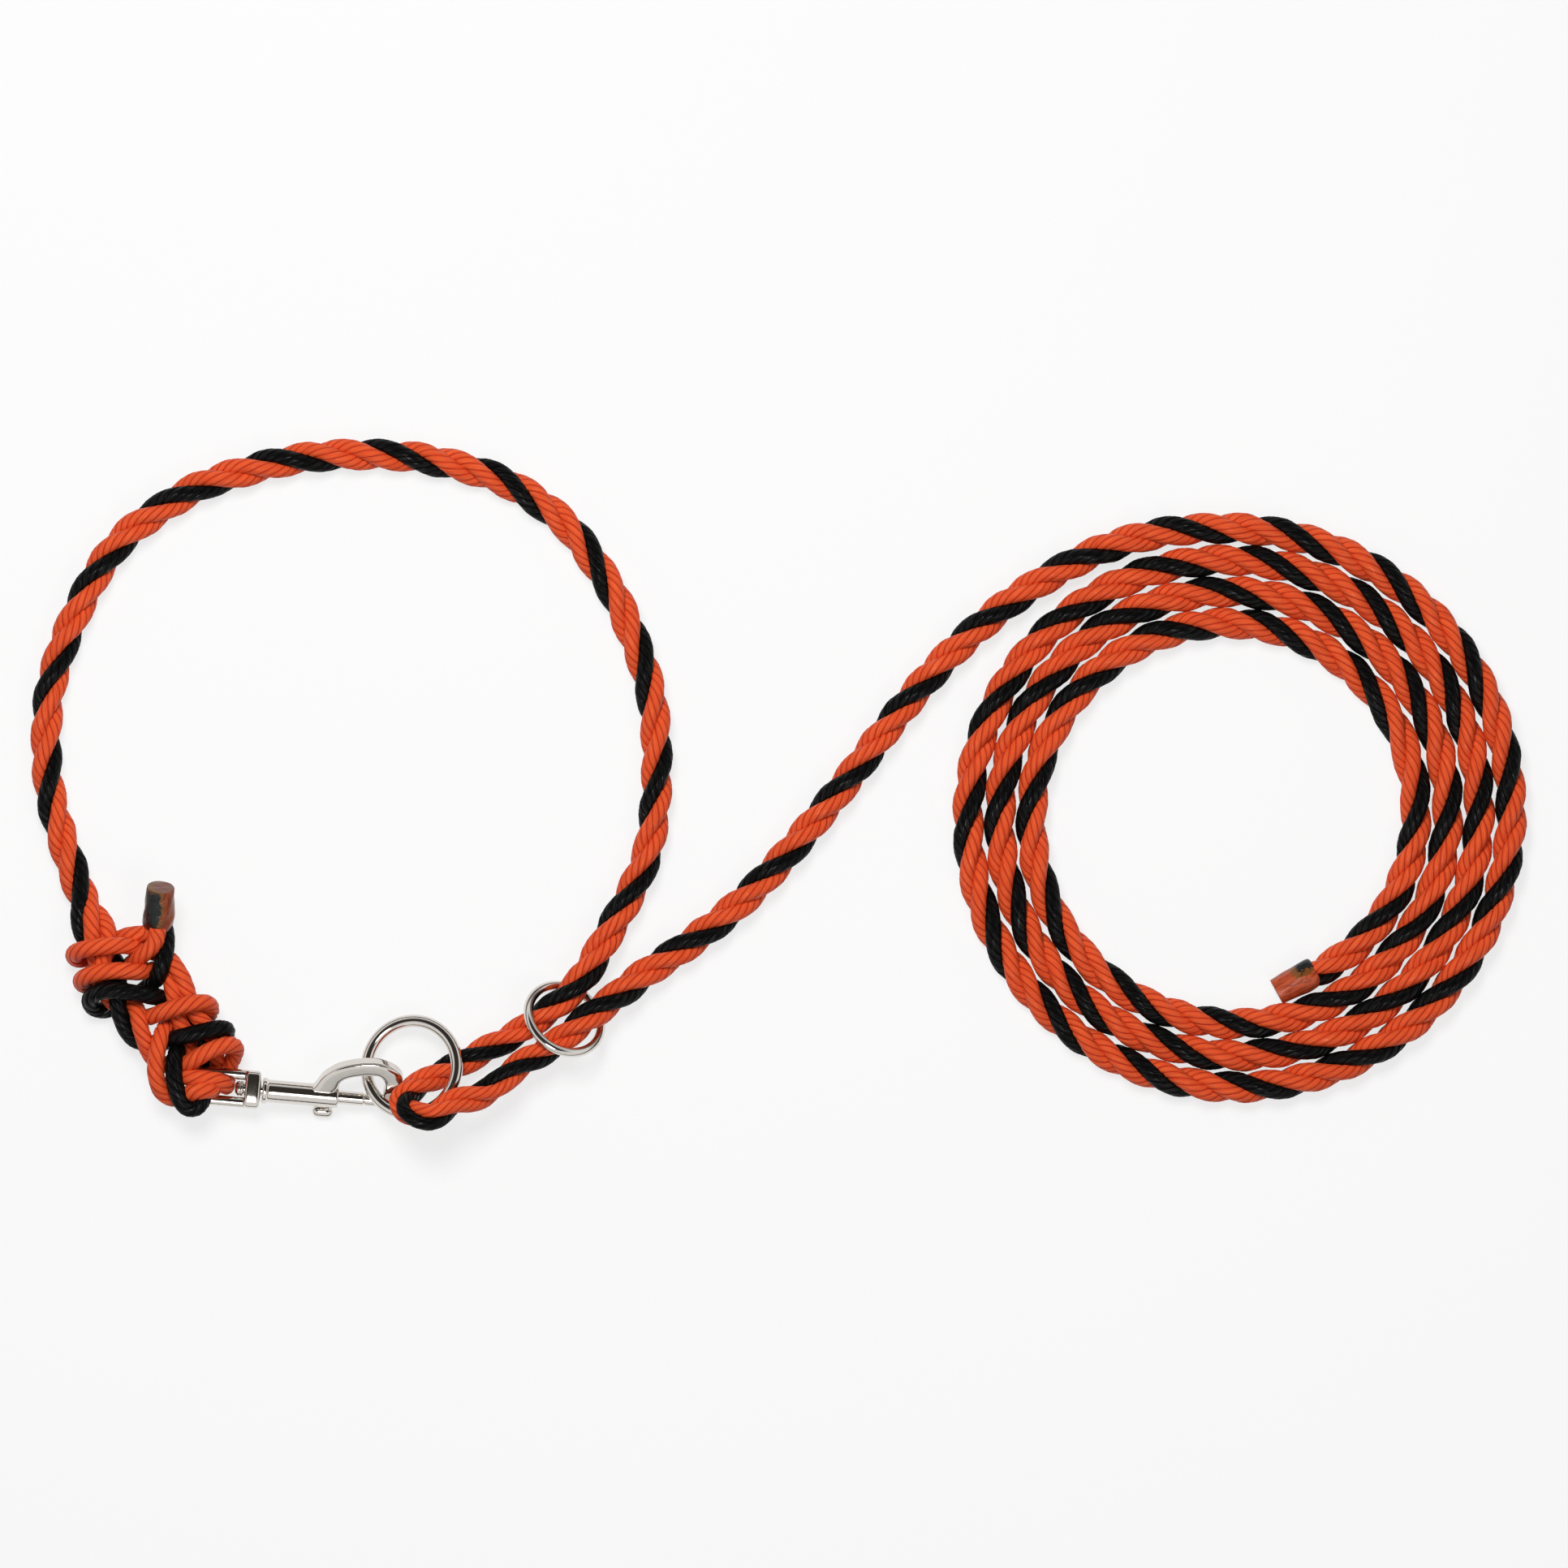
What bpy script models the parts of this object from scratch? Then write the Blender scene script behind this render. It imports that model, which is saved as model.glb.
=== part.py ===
"""A livestock neck rope: three-strand laid rope, swivel bolt snap, two welded rings and a coiled lead.

Lengths are millimetres in the constants and metres in the model. The rope lies flat on z = 0.
Plan positions of soft parts are photo pixels (x right, y down) on one scale, read off a view from above.
"""

from math import cos, pi, radians, sin, tau

import bmesh
import bpy
import numpy as np
from mathutils import Matrix, Vector

MM = 0.001

# Scale and frame: the origin is under the middle of the object's box.
MM_PER_PX = 0.3175
CENTRE_PX = (958.48, 964.92)

# Rope
ROPE_D = 12.7
ROPE_STEP = 24
SQUEEZED_ROPE_D = 11.5
BIGHT_STEP = 10
STRAND_D = 3.6
STRAND_STEP = 3.2
SPLICE_LIFT = 1.2
FACE_GAP = 0.3
JOIN_GAP = 1.2
COIL_JOIN_GAP = 2.2

# Coil: a flat spiral, wound clockwise from the top inwards
COIL_CENTRE_PX = (1517.5, 1005.0)
COIL_R = 112.4
COIL_PITCH = 12.38
COIL_EDGE = 5.75
COIL_END_TURN = 3 + 150 / 360
COIL_SECTIONS = 72
COIL_STEP = 0.002

# Fused rope ends: the lead's plug starts a little past the coil's end and points further along it
SEAL_L = 17.5
SEAL_EDGE = 0.5
SEAL_ROPE_D = 12.0
SEAL_CUT_D = 10.4
SEAL_START_TURN = COIL_END_TURN + 0.0045
SEAL_AIM_TURN = COIL_END_TURN + 0.03
TAIL_SEAL_ROPE_D = 13.0
TAIL_SEAL_CUT_D = 10.8
TAIL_SEAL_RISE = radians(26)

# Rings of welded wire: plan centre, height of the centre, slope of the plane
RING_STEPS = 40
SNAP_RING_WIRE = 4.9
SNAP_RING_R = 18.3
SNAP_RING_AT = (508.0, 1314.5, 12.3)
SNAP_RING_SLOPE = (0.255, -0.167)
SLIDE_RING_WIRE = 3.7
SLIDE_RING_R = 15.15
SLIDE_RING_AT = (696.0, 1255.0, 11.75)
SLIDE_RING_TILT = radians(40)
SLIDE_RING_UPHILL_PX = (-0.59, 0.81)

# Snap: its own +X runs from the swivel eye to the hook's nose, +Y towards the hook's arch
SNAP_AT = (322.0, 1343.0, 9.1)
SNAP_YAW = radians(-5.17)
SNAP_PITCH = radians(4.6)
SNAP_ROLL = radians(36)
FLANGE_D = 10.2
FLANGE_X = (0.5, 2.4)
FLANGE_EDGE = 0.4
BARREL_D = 8.9
BARREL_END = 30.3
BARREL_EDGE = 0.6
BORE_D = 5.8
BORE_X = 7.5
SLOT_X = (15.8, 28.4)
SLOT_W = 3.1
HOOK_T = 5.2
HOOK_EDGE = 1.1
HOOK_OUTER = [(19.0, 2.2), (20.6, 5.2), (23.1, 10.0), (26.3, 13.5), (29.3, 15.7), (33.5, 17.5),
              (39.1, 19.0), (44.8, 19.3), (49.5, 17.9), (53.0, 15.5), (54.6, 12.5), (53.9, 9.4), (52.3, 5.6),
              (51.0, 1.8), (50.0, -1.4)]
HOOK_INNER = [(47.5, -1.4), (47.3, 2.0), (47.6, 5.2), (48.1, 8.0), (47.4, 10.8), (45.5, 12.8), (43.0, 13.4),
              (39.2, 12.9), (34.7, 11.6), (32.0, 10.2), (30.4, 8.2), (29.6, 5.4), (28.8, 2.2)]
BOLT_D = 5.3
BOLT_X = (23.4, 47.0)
BOLT_GROOVE = (40.2, 40.9, 4.3)
BOLT_GROOVE_SLOPE = 0.2
BOLT_TIP_D = 5.0
BOLT_TIP_EDGE = 0.7
KNOB_STEM_X = 26.6
KNOB_STEM_D = 2.5
KNOB_STEM_GAP = 0.2
KNOB_X = (20.9, 28.9)
KNOB_Y = (-10.1, -5.9)
KNOB_T = 4.2
KNOB_EDGE = 1.9
# The spring leaves room for the bolt's 9 mm of travel before its coils touch.
SPRING_X = (8.2, 22.8)
SPRING_R = 2.25
SPRING_WIRE = 0.6
SPRING_TURNS = 7
EYE_BAR_D = 4.2
EYE_HALF_W = 5.4
# Half of the bow: x, and the distance from the middle as a share of the half width
EYE_HALF_BOW = [(-4.0, 1.0), (-10.0, 1.0), (-17.0, 1.0), (-22.6, 1.0), (-25.6, 0.82), (-27.0, 0.45),
                (-27.4, 0.0)]
EYE_BLOCK_X = (-6.7, 0.0)
EYE_BLOCK_W = 15.0
EYE_BLOCK_T = 8.6
EYE_BLOCK_EDGE = 1.6
PIN_D = 3.8
PIN_HOLE_D = 4.4
PIN_HEAD_D = 6.0
PIN_HEAD_END_D = 3.8
PIN_HEAD_X = (-10.2, -7.0)
PIN_HEAD_CROWN = 0.9
PIN_HEAD_EDGE = 0.35
PIN_END_X = 4.6

# Routes on the floor plan: x and y in photo pixels, height of the centre line in millimetres
NECK_LOOP = [(108, 1118, 6.5), (94, 1085, 6.4), (76, 1031, 6.4), (62, 978, 6.4), (57, 924, 6.4),
             (59, 870, 6.4), (66, 832, 6.4), (80, 789, 6.4), (96, 751, 6.4), (120, 705, 6.4), (154, 661, 6.4),
             (199, 627, 6.4), (245, 600, 6.4), (297, 582, 6.4), (352, 568, 6.4), (408, 561, 6.4),
             (462, 560, 6.4), (515, 564, 6.4), (567, 575, 6.4), (617, 591, 6.4), (660, 616, 6.4),
             (701, 650, 6.4), (731, 690, 6.4), (758, 734, 6.4), (778, 779, 6.4), (795, 826, 6.4),
             (805, 871, 6.4), (809, 918, 6.4), (809, 967, 6.4), (805, 1014, 6.4), (796, 1057, 6.4),
             (777, 1101, 6.4), (756, 1139, 6.8), (737, 1174, 7.9)]
BIGHT = [(737, 1174, 7.9), (722, 1199, 9.2), (705, 1221, 10.6), (679, 1243.5, 9.7), (640, 1271, 7.7),
         (601, 1292.5, 6.7), (560.5, 1314, 8.1), (517.5, 1336.5, 15.1), (498, 1352, 20.9),
         (505, 1368.5, 27.1), (533.5, 1373.5, 29.1), (563.5, 1356, 25.0), (602, 1345, 19.2),
         (638, 1314, 14.5), (681, 1288.5, 13.1), (721, 1256.5, 13.4), (758, 1229, 9.8), (788, 1205, 7.4)]
LEAD = [(788, 1205, 7.4), (818, 1184, 6.7), (853, 1160, 6.4), (905, 1119, 6.4), (955, 1069, 6.4),
        (1004, 1012, 6.4), (1050, 954, 6.4), (1094, 896, 6.4), (1136, 844, 6.4), (1182, 795, 6.4),
        (1238, 747, 6.4), (1300, 706, 6.4), (1366, 674, 6.4), (1440, 655, 6.4), (1517.5, 649.5, 6.4)]
# Splice: every strand goes down the standing part, round the eye, up the tail and into the fused end.
# Heights here are for a splice pressed flat; SPLICE_LIFT raises them to the one that lies loose.
BLACK_STRAND = [(98, 1127, 8.2), (98, 1140, 7.8), (106, 1160, 6.2), (126, 1173, 6.2), (144, 1184, 8.5),
                (148, 1205, 11), (146, 1230, 11), (149, 1250, 10.3), (158, 1272, 9), (174, 1285, 6.6),
                (192, 1285, 6.3), (207, 1283, 8), (218, 1279, 12.8), (237, 1274, 15.5), (258, 1269, 15.5),
                (274, 1266, 13), (281, 1270, 8.5), (272, 1280, 4), (254, 1287, 2.6), (236, 1286, 2.8),
                (223, 1289, 7.5), (217, 1302, 14.2), (216, 1320, 15.5), (219, 1338, 15.3), (226, 1359, 14.4),
                (238, 1367, 13), (248, 1362, 13.6), (252, 1353, 13.6), (252, 1345, 12.2), (252, 1338.5, 8.6),
                (251, 1333, 4.6), (250, 1318, 2.6), (250, 1304, 5.2), (252, 1290, 8.3), (246, 1272, 7.2),
                (236, 1255, 6), (225, 1241, 5), (212, 1233, 5.5), (200, 1229, 10.3), (184, 1226, 14.8),
                (165, 1222, 15.7), (142, 1219, 15.7), (122, 1222, 14), (111, 1232, 9.5), (117, 1244, 4.2),
                (137, 1243, 2.6), (162, 1230, 2.6), (182, 1216, 5.5), (195, 1205, 11.5), (201, 1190, 14.2),
                (206, 1172, 13.6), (207, 1158, 12), (206, 1148, 11.2)]
ORANGE_STRAND_1 = [(113, 1128, 9.5), (114, 1145, 10), (116, 1165, 10), (119, 1185, 8.6), (132, 1207, 6.3),
                   (155, 1228, 6.6), (170, 1243, 10.3), (174, 1262, 13), (180, 1283, 12.3),
                   (188, 1302, 9.8), (203, 1312, 9.5), (219, 1312, 9.6), (235, 1309, 13.4),
                   (252, 1298, 15.5), (272, 1289, 15), (287, 1286, 12), (292, 1294, 8), (286, 1306, 4.5),
                   (281, 1318, 2.6), (279, 1333, 3.6), (279, 1339, 8.5), (276, 1333, 12.6),
                   (257, 1328, 14.2), (240, 1328, 14.2), (225, 1324, 10.5), (219, 1317, 5.2),
                   (228, 1307, 4.6), (238, 1291, 8.8), (227, 1268, 10), (219, 1250, 10.3),
                   (217, 1232, 11.3), (213, 1216, 11.2), (211, 1203, 9.4), (202, 1195, 7), (187, 1195, 8),
                   (170, 1197, 13.8), (147, 1195, 15.7), (123, 1198, 15.4), (106, 1203, 12.5),
                   (100, 1209, 8.5), (107, 1215, 4), (126, 1208, 2.5), (148, 1198, 2.9), (163, 1187, 8),
                   (176, 1177, 13), (188, 1168, 15), (195, 1160, 15.2), (196, 1154, 15.3)]
ORANGE_STRAND_2 = [(125, 1130, 5.5), (134, 1146, 8), (135, 1165, 10.2), (128, 1184, 11.6), (124, 1205, 11),
                   (130, 1224, 8), (147, 1241, 6.8), (166, 1251, 6), (180, 1254, 7.5), (190, 1251, 11.5),
                   (206, 1245, 15), (228, 1238, 15.8), (248, 1234, 14.5), (260, 1238, 10), (258, 1250, 5),
                   (242, 1262, 2.5), (220, 1266, 3), (206, 1264, 8.3), (200, 1277, 13.2), (195, 1300, 15),
                   (194, 1322, 14.5), (198, 1340, 12.8), (209, 1352, 9.6), (220, 1354, 8), (230, 1349, 12),
                   (242, 1344, 15.2), (254, 1342, 16.4), (263, 1342, 14), (265, 1338.5, 8.8),
                   (264, 1334, 4.8), (265, 1318, 2.6), (266, 1304, 5.2), (267, 1290, 8.5), (259, 1270, 10),
                   (246, 1254, 10.6), (236, 1240, 10.3), (233, 1224, 11), (227, 1207, 12),
                   (218, 1191, 11.8), (206, 1179, 9), (190, 1173, 7.3), (174, 1168, 8.4), (160, 1165, 13.6),
                   (140, 1165, 15.7), (116, 1167, 15.4), (98, 1171, 12.5), (91, 1177, 8.5), (98, 1183, 4),
                   (117, 1177, 2.5), (138, 1164, 3), (152, 1155, 8), (166, 1151, 11), (179, 1151, 11.4),
                   (186, 1148, 11.2)]
TAIL_SEAL_AT = (196.0, 1142.0, 15.0)
TAIL_SEAL_TOP_PX = (201.0, 1092.0)


def clear_scene():
    for obj in list(bpy.data.objects):
        bpy.data.objects.remove(obj)


def plan(px, py, z=0.0):
    """A plan position in pixels and a height in millimetres, as a point in metres."""
    return Vector(((px - CENTRE_PX[0]) * MM_PER_PX, (CENTRE_PX[1] - py) * MM_PER_PX, z)) * MM


def smooth(points, per_span=12):
    """Points of the Catmull-Rom curve through the given ones."""
    p = np.array(points, dtype=float)
    q = np.vstack([2 * p[0] - p[1], p, 2 * p[-1] - p[-2]])
    t = np.linspace(0, 1, per_span, endpoint=False)[None, :, None]
    a, b, c, d = (q[i:len(q) - 3 + i, None] for i in range(4))
    spans = b + (c - a) * t / 2 + (2 * a - 5 * b + 4 * c - d) * t**2 / 2 + (3 * b - a - 3 * c + d) * t**3 / 2
    return np.vstack([spans.reshape(-1, p.shape[1]), p[-1:]])


def even(points, step, cut_start=0.0, cut_end=0.0):
    """Points at equal steps along a polyline, with a little cut off its ends."""
    p = np.array(points, dtype=float)
    run = np.concatenate([[0], np.cumsum(np.linalg.norm(np.diff(p, axis=0), axis=1))])
    end = run[-1] - cut_end
    stops = np.linspace(cut_start, end, max(2, round((end - cut_start) / step) + 1))
    return np.column_stack([np.interp(stops, run, p[:, k]) for k in range(p.shape[1])])


def material(obj, colour, roughness, metallic=0.0):
    """The object's own Principled material."""
    mat = bpy.data.materials.new(obj.name)
    mat.use_nodes = True
    shader = mat.node_tree.nodes["Principled BSDF"]
    shader.inputs["Base Color"].default_value = (*colour, 1)
    shader.inputs["Roughness"].default_value = roughness
    shader.inputs["Metallic"].default_value = metallic
    obj.data.materials.clear()
    obj.data.materials.append(mat)


def orange(obj):
    material(obj, (0.85, 0.12, 0.02), 0.5)


def black(obj):
    material(obj, (0.010, 0.011, 0.012), 0.45)


def nickel(obj):
    material(obj, (0.72, 0.69, 0.65), 0.12, 1.0)


def linked(name, data):
    obj = bpy.data.objects.new(name, data)
    bpy.context.scene.collection.objects.link(obj)
    return obj


def mesh_object(name, bm):
    """An object from a bmesh, with outward faces and smooth shading up to 35 degrees."""
    bmesh.ops.recalc_face_normals(bm, faces=bm.faces)
    mesh = bpy.data.meshes.new(name)
    bm.to_mesh(mesh)
    bm.free()
    mesh.shade_smooth()
    mesh.set_sharp_from_angle(angle=radians(35))
    return linked(name, mesh)


def tube(name, points, diameter, sides=2, closed=False):
    """A round tube along points in metres, as a bevelled curve with filled ends."""
    curve = bpy.data.curves.new(name, "CURVE")
    curve.dimensions = "3D"
    spline = curve.splines.new("POLY")
    spline.points.add(len(points) - 1)
    for point, place in zip(spline.points, points):
        point.co = (*place, 1)
    spline.use_cyclic_u = closed
    curve.bevel_depth = diameter / 2 * MM
    curve.bevel_resolution = sides
    curve.use_fill_caps = not closed
    return linked(name, curve)


def cord(name, route, diameter, step, cut_start=0.0, cut_end=0.0, lift=1.0):
    """A tube along a smooth curve through a floor-plan route."""
    route = [plan(x, y, z * lift) for x, y, z in route]
    points = even(smooth(route), step * MM, cut_start * MM, cut_end * MM)
    return tube(name, [Vector(p) for p in points], diameter)


def turned(name, profile, steps=24):
    """A solid turned about its own X axis from (x, radius) points in millimetres."""
    bm = bmesh.new()
    verts = [bm.verts.new((x * MM, 0, r * MM)) for x, r in profile]
    edges = [bm.edges.new(pair) for pair in zip(verts, verts[1:])]
    bmesh.ops.spin(bm, geom=verts + edges, axis=(1, 0, 0), cent=(0, 0, 0), angle=tau, steps=steps,
                   use_merge=True)
    bmesh.ops.remove_doubles(bm, verts=bm.verts, dist=1e-6)
    return mesh_object(name, bm)


def rod(name, start, end, diameter, steps=24):
    """A plain round rod along its own X axis."""
    return turned(name, [(start, 0), (start, diameter / 2), (end, diameter / 2), (end, 0)], steps)


def cross_rod(name, start, end, diameter):
    """A rod across the bolt at the knob's stem, between two y values, the second one lower."""
    obj = rod(name, 0, start - end, diameter, 16)
    obj.matrix_world = aimed(Vector((KNOB_STEM_X, start, 0)) * MM, Vector((0, -1, 0)))
    bpy.context.view_layer.update()
    return obj


def box(name, x, y, z, edge=0.0):
    """A box between (low, high) pairs in millimetres, with rounded edges."""
    bm = bmesh.new()
    bmesh.ops.create_cube(bm, size=1)
    spans = np.array((x, y, z)) * MM
    for vert in bm.verts:
        vert.co = [(low + high) / 2 + side * (high - low) for (low, high), side in zip(spans, vert.co)]
    if edge:
        bmesh.ops.bevel(bm, geom=bm.edges[:], offset=edge * MM, segments=2, profile=0.5, affect="EDGES")
    return mesh_object(name, bm)


def plate(name, outline, thickness, edge):
    """An outline in millimetres extruded about z = 0, with both rims rounded."""
    bm = bmesh.new()
    base = bm.faces.new([bm.verts.new((x * MM, y * MM, -thickness / 2 * MM)) for x, y in outline])
    raised = bmesh.ops.extrude_face_region(bm, geom=[base], use_keep_orig=True)
    top = [item for item in raised["geom"] if isinstance(item, bmesh.types.BMVert)]
    bmesh.ops.translate(bm, verts=top, vec=(0, 0, thickness * MM))
    rims = [e for e in bm.edges if abs(e.verts[0].co.z - e.verts[1].co.z) < 1e-9]
    bmesh.ops.bevel(bm, geom=rims, offset=edge * MM, segments=2, profile=0.5, affect="EDGES")
    return mesh_object(name, bm)


def boolean(obj, other, operation):
    """Join or cut by another object, which then goes."""
    modifier = obj.modifiers.new(operation.lower(), "BOOLEAN")
    modifier.operation = operation
    modifier.object = other
    evaluated = obj.evaluated_get(bpy.context.evaluated_depsgraph_get())
    mesh = bpy.data.meshes.new_from_object(evaluated)
    obj.modifiers.clear()
    obj.data = mesh
    mesh.shade_smooth()
    mesh.set_sharp_from_angle(angle=radians(35))
    bpy.data.objects.remove(other)


def as_mesh(obj):
    """A curve object turned into a mesh object of the same name."""
    mesh = bpy.data.meshes.new_from_object(obj.evaluated_get(bpy.context.evaluated_depsgraph_get()))
    name = obj.name
    bpy.data.objects.remove(obj)
    bm = bmesh.new()
    bm.from_mesh(mesh)
    bmesh.ops.remove_doubles(bm, verts=bm.verts, dist=1e-6)
    return mesh_object(name, bm)


def aimed(origin, direction):
    """The matrix that puts an object's X axis along a direction, at a point."""
    return Matrix.Translation(origin) @ direction.to_track_quat("X", "Z").to_matrix().to_4x4()


def coil_point(turn, offset=0.0):
    """A plan point of the spiral: turns from its top, clockwise, and millimetres outwards from its line."""
    radius = COIL_R - COIL_PITCH * turn + offset
    angle = tau * turn
    centre = plan(*COIL_CENTRE_PX)
    return centre + Vector((radius * sin(angle), radius * cos(angle), 0)) * MM


def rope_runs():
    """The rope from the splice to the coil, in three lengths that meet face to face."""
    orange(cord("neck_loop_rope", NECK_LOOP, ROPE_D, ROPE_STEP, cut_end=JOIN_GAP))
    orange(cord("bight_rope", BIGHT, SQUEEZED_ROPE_D, BIGHT_STEP))
    orange(cord("lead_rope", LEAD, ROPE_D, ROPE_STEP, cut_start=JOIN_GAP, cut_end=COIL_JOIN_GAP))


def coil_section(turn):
    """One cross-section of the wound coil: a slab with round edges, from the inner turn to the outer one."""
    inner = turn + 3 if turn + 3 < COIL_END_TURN + 1e-6 else turn + 2
    arc = np.linspace(-pi / 2, pi / 2, 5)
    edges = [(turn, 1), (inner, -1)]
    return [coil_point(at, side * COIL_EDGE * cos(a)) + Vector((0, 0, (1 + side * sin(a)) * ROPE_D / 2 * MM))
            for at, side in edges for a in arc]


def rope_coil():
    """The wound lead as one ring, stepped where the lead joins it and where it ends."""
    bm = bmesh.new()
    steps = [COIL_END_TURN % 1 + COIL_STEP, 1 - COIL_STEP]
    turns = sorted([*np.linspace(0, 1, COIL_SECTIONS, endpoint=False), *steps])
    rings = [[bm.verts.new(point) for point in coil_section(turn)] for turn in turns]
    for ring, after in zip(rings, rings[1:] + rings[:1]):
        for k in range(len(ring)):
            bm.faces.new((ring[k - 1], ring[k], after[k], after[k - 1]))
    orange(mesh_object("rope_coil", bm))


def splice_strands():
    """The three strands, laid open and tucked round each other and the eye."""
    for name, route, paint in (("splice_strand_black", BLACK_STRAND, black),
                               ("splice_strand_orange_1", ORANGE_STRAND_1, orange),
                               ("splice_strand_orange_2", ORANGE_STRAND_2, orange)):
        paint(cord(name, route, STRAND_D, STRAND_STEP, lift=SPLICE_LIFT))


def seal_profile(rope_d, cut_d):
    """Half the outline of a fused end, from the rope's side to the cut face."""
    rope_r, cut_r = rope_d / 2, cut_d / 2
    return [(0, 0), (0, rope_r - SEAL_EDGE), (SEAL_EDGE, rope_r), (SEAL_L - SEAL_EDGE, cut_r),
            (SEAL_L, cut_r - SEAL_EDGE), (SEAL_L, 0)]


def end_seals():
    """The fused ends of the lead and of the spliced tail: tapered plugs with a flat cut face."""
    lead = turned("lead_end_seal", seal_profile(SEAL_ROPE_D, SEAL_CUT_D))
    height = Vector((0, 0, ROPE_D / 2 * MM))
    start = coil_point(SEAL_START_TURN) + height
    lead.matrix_world = aimed(start, coil_point(SEAL_AIM_TURN) + height - start)
    material(lead, (0.35, 0.07, 0.02), 0.3)
    tail = turned("tail_end_seal", seal_profile(TAIL_SEAL_ROPE_D, TAIL_SEAL_CUT_D))
    away = (plan(*TAIL_SEAL_TOP_PX) - plan(*TAIL_SEAL_AT[:2])).normalized()
    up_and_away = away * cos(TAIL_SEAL_RISE) + Vector((0, 0, sin(TAIL_SEAL_RISE)))
    tail.matrix_world = aimed(plan(*TAIL_SEAL_AT), up_and_away)
    material(tail, (0.05, 0.03, 0.02), 0.3)


def ring(name, radius, wire, centre, normal):
    """A closed wire ring at a point, square to a direction."""
    angles = [tau * k / RING_STEPS for k in range(RING_STEPS)]
    circle = [Vector((cos(a), sin(a), 0)) * radius * MM for a in angles]
    obj = as_mesh(tube(name, circle, wire, sides=3, closed=True))
    obj.matrix_world = Matrix.Translation(centre) @ normal.to_track_quat("Z", "Y").to_matrix().to_4x4()
    nickel(obj)


def rings():
    """The ring the snap hooks into, and the ring that slides on both legs of the rope."""
    slope_x, slope_y = SNAP_RING_SLOPE
    ring("snap_ring", SNAP_RING_R, SNAP_RING_WIRE, plan(*SNAP_RING_AT), Vector((-slope_x, -slope_y, 1)))
    uphill = Vector((SLIDE_RING_UPHILL_PX[0], -SLIDE_RING_UPHILL_PX[1], 0)).normalized()
    normal = Vector((0, 0, cos(SLIDE_RING_TILT))) - uphill * sin(SLIDE_RING_TILT)
    ring("slide_ring", SLIDE_RING_R, SLIDE_RING_WIRE, plan(*SLIDE_RING_AT), normal)


def snap_frame():
    """Empties at the snap: one along its axis for the eye, one rolled about that axis for what swivels."""
    fixed = linked("snap_axis", None)
    fixed.matrix_world = (Matrix.Translation(plan(*SNAP_AT)) @ Matrix.Rotation(SNAP_YAW, 4, "Z")
                          @ Matrix.Rotation(SNAP_PITCH, 4, "Y"))
    rolled = linked("snap_roll", None)
    rolled.matrix_world = fixed.matrix_world @ Matrix.Rotation(SNAP_ROLL, 4, "X")
    bpy.context.view_layer.update()
    return fixed, rolled


def hold(parent, *objects):
    for obj in objects:
        obj.parent = parent


def snap_body():
    """Barrel and hook in one casting, bored for the bolt and slotted for its knob."""
    near, far = FLANGE_X
    flange_r, barrel_r = FLANGE_D / 2, BARREL_D / 2
    body = turned("snap_body", [(near, 0), (near, flange_r - FLANGE_EDGE), (near + FLANGE_EDGE, flange_r),
                                (far - FLANGE_EDGE, flange_r), (far, barrel_r),
                                (BARREL_END - BARREL_EDGE, barrel_r), (BARREL_END, barrel_r - BARREL_EDGE),
                                (BARREL_END, 0)])
    outline = np.vstack([smooth(HOOK_OUTER, 3), smooth(HOOK_INNER, 3)])
    boolean(body, plate("hook", outline, HOOK_T, HOOK_EDGE), "UNION")
    boolean(body, rod("bore", BORE_X, BOLT_X[1], BORE_D), "DIFFERENCE")
    boolean(body, box("slot", SLOT_X, (-BARREL_D, -1), (-SLOT_W / 2, SLOT_W / 2)), "DIFFERENCE")
    boolean(body, rod("pin_hole", near - FLANGE_D, PIN_END_X + FACE_GAP, PIN_HOLE_D), "DIFFERENCE")
    nickel(body)
    return body


def swivel_pin():
    """The stud that ties the snap to its eye, with its head peened over inside the bow."""
    outer, inner = PIN_HEAD_X
    head_r, pin_r = PIN_HEAD_D / 2, PIN_D / 2
    pin = turned("swivel_pin", [(outer, 0), (outer, PIN_HEAD_END_D / 2),
                                (outer + PIN_HEAD_CROWN, head_r - PIN_HEAD_EDGE),
                                (inner - PIN_HEAD_CROWN, head_r), (inner, head_r - PIN_HEAD_EDGE),
                                (inner, pin_r), (PIN_END_X, pin_r), (PIN_END_X, 0)])
    nickel(pin)
    return pin


def swivel_eye():
    """The bow that the rope is spliced round: a bent bar on a bored block."""
    bow = EYE_HALF_BOW + [(x, -side) for x, side in reversed(EYE_HALF_BOW[:-1])]
    path = [Vector((x, side * EYE_HALF_W, 0)) * MM for x, side in smooth(bow, 3)]
    eye = as_mesh(tube("swivel_eye", path, EYE_BAR_D, sides=3))
    half_w, half_t = EYE_BLOCK_W / 2, EYE_BLOCK_T / 2
    boolean(eye, box("block", EYE_BLOCK_X, (-half_w, half_w), (-half_t, half_t), EYE_BLOCK_EDGE), "UNION")
    boolean(eye, rod("eye_bore", EYE_BLOCK_X[0] - PIN_D, EYE_BLOCK_X[1] + PIN_D, PIN_HOLE_D), "DIFFERENCE")
    nickel(eye)
    return eye


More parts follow.
